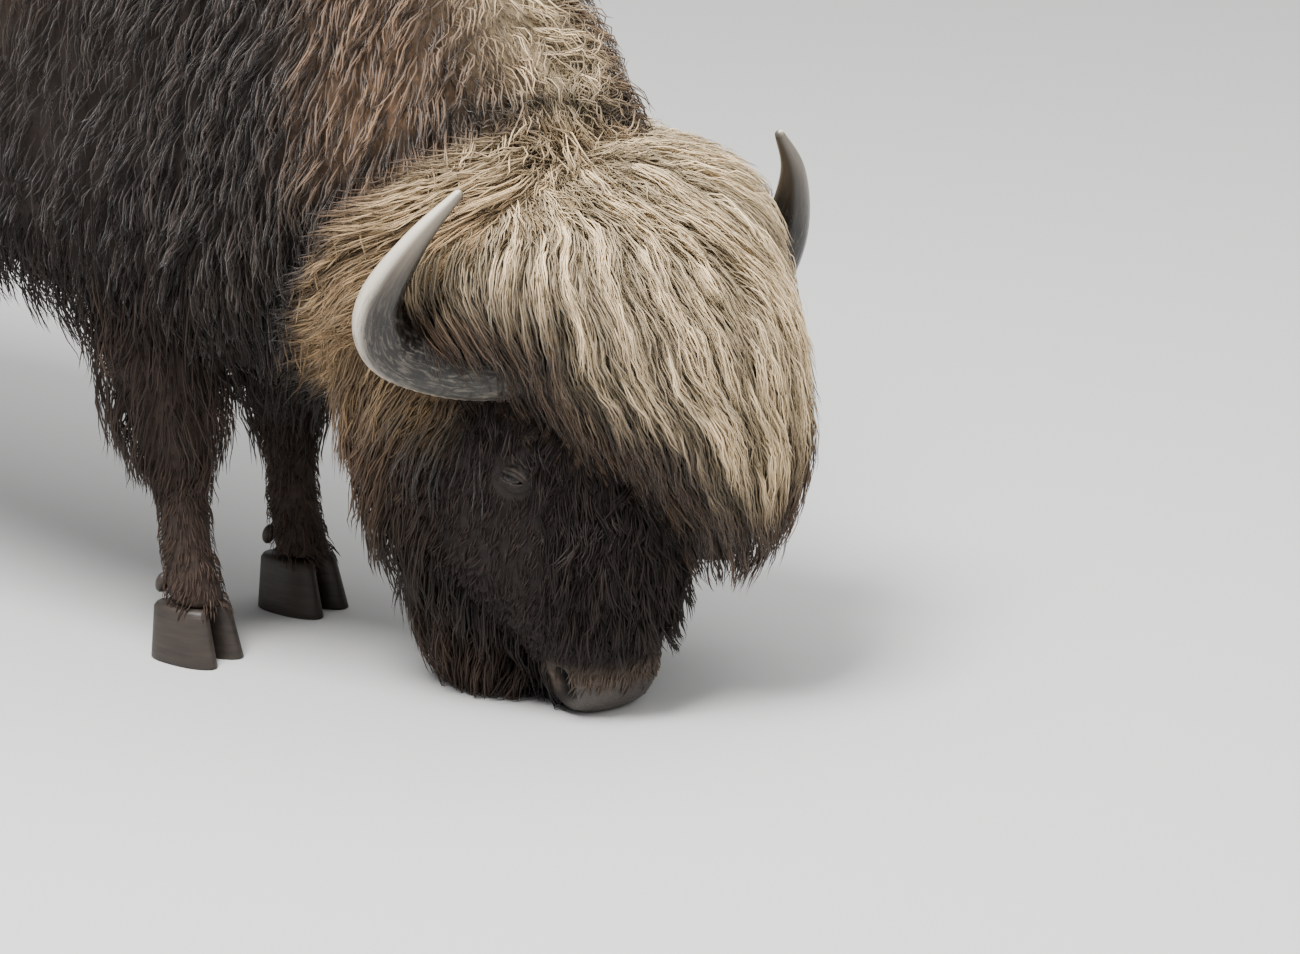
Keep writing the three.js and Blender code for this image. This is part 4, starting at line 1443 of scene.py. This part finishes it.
# Recipes for locks: length and half width; amplitude and wavelength of the waves, how unruly their start
# is within a tuft and where they curl most; how far tips stray sideways, lift by chance and flare; light at
# root and tip, and how patchy it is from tuft to tuft; the lowest layer, and the room left above the
# highest as a share of the coat's depth; base, added to every height; how far locks may rise beyond the
# outline, and how deep a root may sink in another region; regions that they yield to, and where they are
# trimmed.
CROWN = dict(
    ridges=((8, 1.25, 5 * MM, 0.8, 2 * MM, 0.15), (80, 2.4, 11 * MM, 0.5, 8 * MM, 0.55)),
    length=0.11, width=1.4 * MM, points=7, amplitude=3.0 * MM, wavelength=0.04, unruly=0.5,
    stray=7 * MM, lift=6 * MM, tip_light=0.9, root_light=0.5, sink=35 * MM, curl=crown_curl, hangs=True,
    trim=above_hem, patchy=0.12, lowest=0.15, beyond=6 * MM,
)
NAPE = dict(
    ridges=((10, 1.25, 7 * MM, 0.8, 2 * MM, 0.15), (70, 2.0, 16 * MM, 0.35, 5 * MM, 0.3)),
    length=0.065, width=1.5 * MM, points=5, amplitude=3.2 * MM, wavelength=0.036, unruly=0.8,
    stray=8 * MM, lift=5 * MM, tip_light=1.1, root_light=0.7, curl=nape_curl, yields=("head",),
    folds=neck_folds, beyond=8 * MM,
)
RUFF = dict(
    ridges=((9, 1.25, 6 * MM, 0.8, 2 * MM, 0.2), (70, 2.0, 14 * MM, 0.4, 6 * MM, 0.4)),
    length=0.11, width=1.4 * MM, points=6, amplitude=2.4 * MM, wavelength=0.045, unruly=0.6,
    stray=9 * MM, lift=7 * MM, flare=12 * MM, beyond=20 * MM, tip_light=1.1, root_light=0.55, trim=ruff_end,
    yields=HORNS,
)
CURLS = {
    **CROWN, "length": 0.055, "amplitude": 5 * MM, "wavelength": 0.03, "unruly": 2.0, "stray": 14 * MM,
    "lift": 8 * MM, "flare": 8 * MM, "beyond": 16 * MM, "trim": None,
}
SHAGGY = dict(
    ridges=((9, 1.25, 9 * MM, 0.75, 2 * MM, 0.2), (60, 2.0, 16 * MM, 0.3, 5 * MM, 0.35)),
    length=0.10, width=1.7 * MM, points=6, amplitude=2.4 * MM, wavelength=0.05, unruly=0.8,
    stray=11 * MM, lift=10 * MM, flare=2 * MM, tip_light=0.95, hangs=True, beyond=14 * MM,
)
BRIDGE = {**SHAGGY, "length": 0.055, "flare": 9 * MM, "beyond": 24 * MM, "base": 2 * MM}
SHORT = dict(
    ridges=((8, 1.25, 6 * MM, 0.4, 0.5 * MM, 0.15),), length=0.028, width=1.4 * MM, points=4,
    amplitude=1.0 * MM, wavelength=0.024, unruly=1.0, stray=4 * MM, lift=2.5 * MM, tip_light=1.15,
    root_light=0.7, room=0.5, base=2 * MM, beyond=4 * MM,
)
FLANK = {
    **SHORT, "width": 2.2 * MM, "length": 0.034, "room": 0.85, "base": 1 * MM, "lift": 1.5 * MM,
    "tip_light": 1.3, "root_light": 1.0,
}


def both_sides(stem, count, flow, weight, others, spec):
    """The same locks on a left region and its right one."""
    return [locks(f"{stem}_{word}", amount(count), flow, weight, others, **spec) for _, word in SIDES]


def grow(name, parts, material, slot, *bundles):
    """A coat piece, or several alike that share its locks out, from bundles of locks."""
    whole = [np.concatenate(fields) for fields in zip(*bundles)]
    for part in range(parts):
        label = name if parts == 1 else f"{name}_{part + 1}"
        link(label, lock_mesh(label, [field[part::parts] for field in whole]), material)


grow(
    "crown_locks", 3, LONG_HAIR, "coat_crown",
    locks("mop", amount(13500), crown_flow, crown_weight, ("head", "body", *HORNS), **CROWN),
    locks("mop", amount(700), crown_flow, whorl_weight, ("body",), **CURLS),
    locks("body", amount(800), ruff_flow, whorl_weight, ("mop",), **CURLS),
)
grow(
    "nape_wool", 2, WOOL_HAIR, "coat_cape",
    locks("body", amount(15600), body_flow, nape_weight, ("head", "mop"), **NAPE),
)
grow(
    "ruff_locks", 1, LONG_HAIR, "coat_cape",
    locks("head", amount(1900), ruff_flow, fan_weight, ("body", "mop"), **RUFF),
    locks("body", amount(4400), ruff_flow, ruff_weight, ("mop",), **RUFF),
)
grow(
    "cheek_locks", 1, DARK_HAIR, "coat_dark",
    locks("head", amount(3500), cheek_flow, cheek_weight, ("body", "mop", *HORNS), **SHAGGY),
    locks("beard", amount(2000), down_flow, everywhere, ("head", "body"), **SHAGGY),
    locks("head", amount(1250), down_flow, bridge_weight, (), **BRIDGE),
)
grow(
    "chest_locks", 1, DARK_HAIR, "coat_dark",
    locks("body", amount(1900), body_flow, chest_weight, ("head",), **SHAGGY),
    *both_sides("fore", 900, down_flow, chaps_weight, ("body",), SHAGGY),
    locks("tail", amount(300), down_flow, tuft_weight, (), **SHAGGY),
)
grow(
    "face_hair", 1, SHORT_HAIR, "coat_dark",
    locks("head", amount(5700), cheek_flow, face_weight, (), **{**SHORT, "length": 0.024}),
)
grow(
    "flank_hair", 1, SHORT_HAIR, "coat_flank",
    locks("body", amount(5000), body_flow, flank_weight, (), **FLANK),
    *both_sides("hind", 1100, down_flow, everywhere, ("body",), FLANK),
)
grow(
    "leg_hair", 1, SHORT_HAIR, "coat_dark",
    *both_sides("fore", 700, down_flow, shin_weight, (), SHORT),
    locks("tail", amount(400), down_flow, dock_weight, ("body",), **SHORT),
    *both_sides("ear", 300, fan_flow, everywhere, ("head",), SHORT),
)

# ---- horns ---------------------------------------------------------------------------------------
HORN_ROWS = 24  # rings from each row of the table to the next
HORN_COLUMNS = 56


def horn_mesh(name, sign):
    """A tapering tube whose radius is the table's, plus growth rings near the root and shallow grooves
    lengthwise that fade at the tip; the tip closes on a quarter circle."""
    line, radius, heading, across, other = horn_line(HORN_ROWS)
    t = np.linspace(0, 1, len(line))[:, None]
    angle = turn_round(HORN_COLUMNS)
    arc = np.concatenate([[0], np.cumsum(np.linalg.norm(np.diff(line, axis=0), axis=1))])[:, None]
    rings = np.sin(arc / (11 * MM) * 2 * math.pi + 1.3 * np.sin(arc / (37 * MM)))
    root = 1 - ramp(t, 0.3, 0.62)
    grooves = np.sin(17 * angle + 2 * np.sin(3 * angle)) * np.sin(5 * angle + 4 * t)
    bulge = 0.5 * MM * root * rings + 0.45 * MM * grooves * (1 - ramp(t, 0.55, 0.85))
    size = radius[:, None] + bulge
    cosine, sine = np.cos(angle)[..., None], np.sin(angle)[..., None]
    size = size[..., None]
    grid = line[:, None] + size * cosine * across[:, None] + size * sine * other[:, None]
    close = np.linspace(0, 1, 9)[1:, None, None] * math.pi / 2
    tip = line[-1] + heading[-1] * np.sin(close) * radius[-1] + (grid[-1][None] - line[-1]) * np.cos(close)
    grid = np.concatenate([grid, tip[:-1]])
    grid[..., 0] *= sign
    grid = from_head(grid)
    vertices, corners, sizes = capped([grid])
    mesh = build_mesh(name, vertices, corners, sizes)
    share = np.clip(np.arange(len(grid)) / (len(line) - 1), 0, 1)
    root_tone, middle_tone, tip_tone = linear("#2a2622"), linear("#241f1c"), linear("#756c60")
    along = mix(np.tile(root_tone, (len(grid), 1)), middle_tone, ramp(share, 0.35, 0.5))
    along = mix(along, tip_tone, ramp(share, 0.66, 0.92))
    # Pale along the outside of the bend, partly wear and partly a painted highlight; darker inside it,
    # painted shade.
    rim_wear_and_highlight_tone = linear("#d8cebd")
    inward = line.mean(0) - line
    inward = unit(inward - dot(inward, heading) * heading)[:, None]
    bend = dot(cosine * across[:, None] + sine * other[:, None], inward)[..., 0]
    bend = np.concatenate([bend, np.repeat(bend[-1:], len(grid) - len(bend), 0)])
    rim = 0.85 * ramp(-bend, 0.45, 1.0) ** 1.7 * ramp(share, 0.12, 0.4)[:, None]
    worn = along[:, None] * (1 - 0.65 * ramp(bend, -0.4, 0.8))[..., None]
    shades = np.vstack([mix(worn, rim_wear_and_highlight_tone, rim).reshape(-1, 3), along[:1], along[-1:]])
    paint(mesh, shades)
    column = np.tile(np.arange(HORN_COLUMNS), len(grid))
    row = np.repeat(np.arange(len(grid)), HORN_COLUMNS)
    u = np.concatenate([column / HORN_COLUMNS, [0, 0]])[corners]
    v = np.concatenate([share[row], [0, 1]])[corners]
    # A quad that closes the ring runs on to u = 1 rather than back to 0.
    starts = np.concatenate([[0], np.cumsum(sizes)[:-1]])
    highest = np.repeat(np.maximum.reduceat(u, starts), sizes)
    u = np.where((highest > 0.6) & (u < 0.2), u + 1, u)
    unwrap(mesh, "lock", np.stack([u, v], -1))
    return mesh


for sign, word in SIDES:
    horn = link(f"horn_shell_{word}", horn_mesh(f"horn_shell_{word}", sign), KERATIN)
    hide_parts(f"horn_{word}")

# ---- eyes and lids -----------------------------------------------------------------------------------
EYE_ROWS = 40
EYE_COLUMNS = 56


def eye_mesh(name, sign):
    """A ball: rings at angle a from the gaze, radius * (out cos a + (long cos b + up sin b) sin a). The
    pupil is a level ellipse and the iris a circle, by the sines of those angles."""
    a = np.linspace(0.02, math.pi - 0.02, EYE_ROWS)[:, None, None]
    b = turn_round(EYE_COLUMNS)[..., None]
    ring = EYE_LONG * np.cos(b) + EYE_UP * np.sin(b)
    grid = EYE + EYE_RADIUS * (EYE_OUT * np.cos(a) + ring * np.sin(a))
    grid[..., 0] *= sign
    mesh = build_mesh(name, *capped([from_head(grid)]))
    long, high = np.sin(a) * np.cos(b), np.sin(a) * np.sin(b)
    pupil = 1 - ramp((long / 0.36) ** 2 + (high / 0.16) ** 2, 0.8, 1.1)
    iris = 1 - ramp(long**2 + high**2, 0.36, 0.46)
    white = mix(np.broadcast_to(linear("#1d1612"), (*iris.shape[:2], 3)), linear("#1c0f08"), iris[..., 0])
    shade = mix(white, linear("#050404"), pupil[..., 0])
    paint(mesh, np.vstack([shade.reshape(-1, 3), shade[0, :1], shade[-1, :1]]))
    return mesh


LID_REACH = 20 * MM  # width of the lids round the opening
OPENING_HALF = 19 * MM
OPENING_ABOVE = 4.2 * MM
OPENING_BELOW = 4.6 * MM
LID_INSIDE = 0.86  # the lids' inner side is their outer one, drawn towards the ball's middle by this much
LID_BARE = 0.1  # the lids are a little damp
LID_COLUMNS = 72
LID_ROWS = 30


def lid_edge(b, t, lift):
    """A point of the lids, in the left eye's axes: the almond rim pushed outward by t, over a ball that is
    stretched 1.3 times along the eye and 1.15 times upward, so that the lids stay clear of it."""
    high = np.sin(b)
    rim_x = OPENING_HALF * np.cos(b)
    rim_y = np.where(high > 0, OPENING_ABOVE, OPENING_BELOW) * np.sign(high) * np.abs(high) ** 1.25
    spread = LID_REACH * t**1.2
    x = rim_x + 0.8 * spread * np.cos(b)
    y = rim_y - 1.5 * MM * np.cos(b) + 1.2 * spread * high
    flat = np.sqrt(np.maximum((EYE_RADIUS + lift) ** 2 - (x / 1.3) ** 2 - (y / 1.15) ** 2, (5 * MM) ** 2))
    return x[..., None] * EYE_LONG + y[..., None] * EYE_UP + flat[..., None] * EYE_OUT


def lid_mesh(name, sign):
    """Lids as one ring of skin: from an almond rim just off the ball, over a rounded edge, out along the
    ball with three folds above, and down into the face."""
    b = turn_round(LID_COLUMNS)
    t = np.linspace(0, 1, LID_ROWS)[:, None]
    above = np.clip(np.sin(b), 0, 1) ** 0.5
    wave = np.sin(2 * math.pi * (t * 3.2 - 0.25)) * ramp(t, 0.12, 0.3) * (1 - ramp(t, 0.8, 1))
    lift = 1.6 * MM * ramp(t, 0.0, 0.10) + 0.4 * MM + 1.0 * MM * above * wave
    grid = EYE + lid_edge(b, t, lift) - 7 * MM * ramp(t, 0.6, 1.0)[..., None] * EYE_OUT
    shell = np.concatenate([grid, (EYE + (grid - EYE) * LID_INSIDE)[::-1]])
    shell[..., 0] *= sign
    shell = from_head(shell)
    rows = len(shell)
    quads, _ = grid_faces(rows, LID_COLUMNS, 0, False, caps=False)
    j = np.arange(LID_COLUMNS)
    k = (j + 1) % LID_COLUMNS
    last = (rows - 1) * LID_COLUMNS
    faces = np.vstack([quads, np.stack([last + j, last + k, k, j], -1)])
    points = shell.reshape(-1, 3)
    # One row of quads tells whether the faces look outward.
    probe = faces[LID_COLUMNS * 4 : LID_COLUMNS * 5]
    normal = np.cross(points[probe[:, 1]] - points[probe[:, 0]], points[probe[:, 2]] - points[probe[:, 1]])
    centre = from_head(EYE * np.array([sign, 1, 1]))
    if (normal * (points[probe[:, 0]] - centre)).sum() < 0:
        faces = faces[:, ::-1]
    mesh = build_mesh(name, points, faces.ravel(), np.full(len(faces), 4))
    # Painted highlight: the crests of the folds above are lighter, where they catch the light.
    crest = (0.5 + 0.5 * wave) * above * ramp(t, 0.1, 0.25) * (1 - ramp(t, 0.6, 0.95))
    tone = mix(np.broadcast_to(linear("#1d1613"), (*crest.shape, 3)), linear("#3a312b"), crest)
    tone = mix(tone, linear("#0d0a09"), (1 - ramp(t, 0.03, 0.12)) * np.ones_like(b))
    # Painted reflection: the wet edge of the lower lid is paler.
    wet = np.exp(-(((t - 0.08) / 0.04) ** 2)) * np.clip(-np.sin(b), 0, 1) ** 0.5
    tone = mix(tone, linear("#453a33"), wet)
    paint(mesh, np.concatenate([tone, tone[::-1]]).reshape(-1, 3))
    mark_bare(mesh, np.full(len(points), LID_BARE))
    return mesh


LASHES = 26  # on each eye
LASH_WIDTH = 0.45 * MM


def lash_bundle(sign):
    """Lashes along the upper lid's rim but for its front corner: out, then curving down, 15 to 24 mm
    long."""
    b = np.linspace(0.22, 0.93, LASHES)[:, None] * math.pi
    root = EYE + lid_edge(b, 0 * b + 0.02, 1.2 * MM)[:, 0]
    t = np.linspace(0, 1, 5)[None, :, None]
    length = (9 + 6 * RNG.random((LASHES, 1, 1))) * MM
    lean = RNG.normal(0, 0.25, (LASHES, 1, 1)) - 0.3
    heading = EYE_OUT * 0.9 - EYE_UP * (0.15 + 1.1 * t) + EYE_LONG * lean
    paths = root[:, None] + length * t * heading
    paths[..., 0] *= sign
    paths = from_head(paths)
    upward = np.broadcast_to(EYE_UP * np.array([sign, 1, 1]) @ TURN.T, paths.shape)
    colour = np.broadcast_to(linear("#1a1411"), paths.shape)
    return paths, upward, np.full(LASHES, LASH_WIDTH), colour, np.tile(surfaces["head"].tile[:2], (LASHES, 1))


for sign, word in SIDES:
    ball = link(f"eyeball_{word}", eye_mesh(f"eyeball_{word}", sign), WET_EYE)
    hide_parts(f"eye_{word}")
    link(f"eyelids_{word}", lid_mesh(f"eyelids_{word}", sign), SKIN)
grow("lashes", 1, SHORT_HAIR, "coat_dark", lash_bundle(1), lash_bundle(-1))

# ---- hooves ------------------------------------------------------------------------------------------
CLAW_GAP = 3.5 * MM  # half the gap between the two claws


def claw_rings(foot, sign):
    """One claw: level rounded sections, 48 mm wide, 60 mm ahead and 51 mm behind at the ground, a fifth
    smaller at the coronet and leaning back towards it, flat below."""
    height = np.array([0, 2, 12, 28, 46, 62, 74, 79.0]) * MM
    t = height / (80 * MM)
    size = 1.0 - 0.2 * t - np.array([0.04, 0, 0, 0, 0, 0, 0.0, 0.06])
    half = 24 * MM * size
    centre_x = foot[0] * MM + sign * (CLAW_GAP + half)
    centre = np.stack([centre_x, (foot[1] - 4) * MM + 8 * MM * t, height], 1)
    return placed(sections(centre, LEFT, AHEAD, half, 60 * MM * size, 51 * MM * size, 2.0, 2.8, 40))


def dewclaw_rings(foot, sign):
    """A small blunt claw behind the fetlock, 88 to 118 mm up: level ellipses whose size follows a half
    circle."""
    t = np.linspace(0.03, 0.97, 12)
    swell = np.sqrt(1 - (2 * t - 1) ** 2)
    x, y, z = foot[0] * MM + sign * 18 * MM + 0 * t, (foot[1] + 43) * MM - 6 * MM * t, (88 + 30 * t) * MM
    reach = 9 * MM * swell
    return placed(sections(np.stack([x, y, z], 1), LEFT, AHEAD, 10 * MM * swell, reach, reach, 2, 2, 20))


for end, foot in FEET_AT.items():
    claws = [rings(foot, sign) for rings in (claw_rings, dewclaw_rings) for sign in (-1, 1)]
    hoof = link(f"claws_{end}", build_mesh(f"claws_{end}", *capped(claws)), HOOF)
    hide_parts(f"hoof_{end}")

# ---- floor, lights and camera ------------------------------------------------------------------------
IMAGE_WIDTH, IMAGE_HEIGHT = 1300, 954
SENSOR = 36.0  # width in mm
FOCAL_PIXELS = 6400  # focal length in pixels of the frame
CAMERA_AZIMUTH, CAMERA_ELEVATION = math.radians(-52), math.radians(17)
CAMERA_DISTANCE = 8.5  # metres
HEAD_PIXEL = (603, 352)  # where the point between the horns shows
FLOOR_REACH = 30.0  # metres from the floor's middle to its edges
LIGHTS = (  # name, azimuth, elevation, distance and size in metres, power in watts
    ("key", -80, 62, 6.0, 2.2, 980),
    ("sky", -60, 86, 5.0, 6.0, 430),
    ("fill", -15, 30, 7.0, 4.0, 160),
)


def sight(azimuth, elevation):
    """The direction from the animal to a viewer."""
    level = math.cos(elevation)
    return Vector((math.sin(azimuth) * level, -math.cos(azimuth) * level, math.sin(elevation)))


def make_camera():
    """Looks past the head so that the head lies at its pixel: axis = look - right * dx - up * dy."""
    target = Vector(placed(HEAD_PLACE))
    back = sight(CAMERA_AZIMUTH, CAMERA_ELEVATION)
    look = -back
    right = look.cross(Vector((0, 0, 1))).normalized()
    up = right.cross(look)
    dx = (HEAD_PIXEL[0] - IMAGE_WIDTH / 2) / FOCAL_PIXELS
    dy = -(HEAD_PIXEL[1] - IMAGE_HEIGHT / 2) / FOCAL_PIXELS
    axis = (look - right * dx - up * dy).normalized()
    right = axis.cross(Vector((0, 0, 1))).normalized()
    up = right.cross(axis)
    data = bpy.data.cameras.new("camera")
    data.sensor_width = SENSOR
    data.lens = SENSOR * FOCAL_PIXELS / IMAGE_WIDTH
    data.clip_end = 200
    camera = in_scene("camera", data)
    camera.matrix_world = Matrix.Translation(target + back * CAMERA_DISTANCE) @ Matrix(
        (right, up, -axis)
    ).transposed().to_4x4()
    bpy.context.scene.camera = camera


def make_light(name, azimuth, elevation, distance, size, power):
    """A square soft box aimed at the animal's shoulders."""
    target = Vector(placed(np.array([0, -0.2, 0.8])))
    back = sight(math.radians(azimuth), math.radians(elevation))
    data = bpy.data.lights.new(name, "AREA")
    data.size = size
    data.energy = power
    light = in_scene(name, data)
    light.location = target + back * distance
    light.rotation_euler = (-back).to_track_quat("-Z", "Y").to_euler()


def make_floor():
    """A wide plain pale floor."""
    mesh = bpy.data.meshes.new("floor")
    corners = [(x * FLOOR_REACH, y * FLOOR_REACH, 0) for x, y in ((-1, -1), (1, -1), (1, 1), (-1, 1))]
    mesh.from_pydata(corners, [], [(0, 1, 2, 3)])
    look = {"Roughness": 0.9, "Base Color": (*linear("#c2c1bf"), 1)}
    mesh.materials.append(new_material("pale_floor", look)[0])
    in_scene("floor", mesh)


def make_world():
    """Even, faintly blue light from all round."""
    world = bpy.data.worlds.new("studio")
    world.use_nodes = True
    background = world.node_tree.nodes["Background"]
    background.inputs["Color"].default_value = (*linear("#eef0f2"), 1)
    background.inputs["Strength"].default_value = 0.6
    bpy.context.scene.world = world


make_camera()
make_floor()
make_world()
for spec in LIGHTS:
    make_light(*spec)
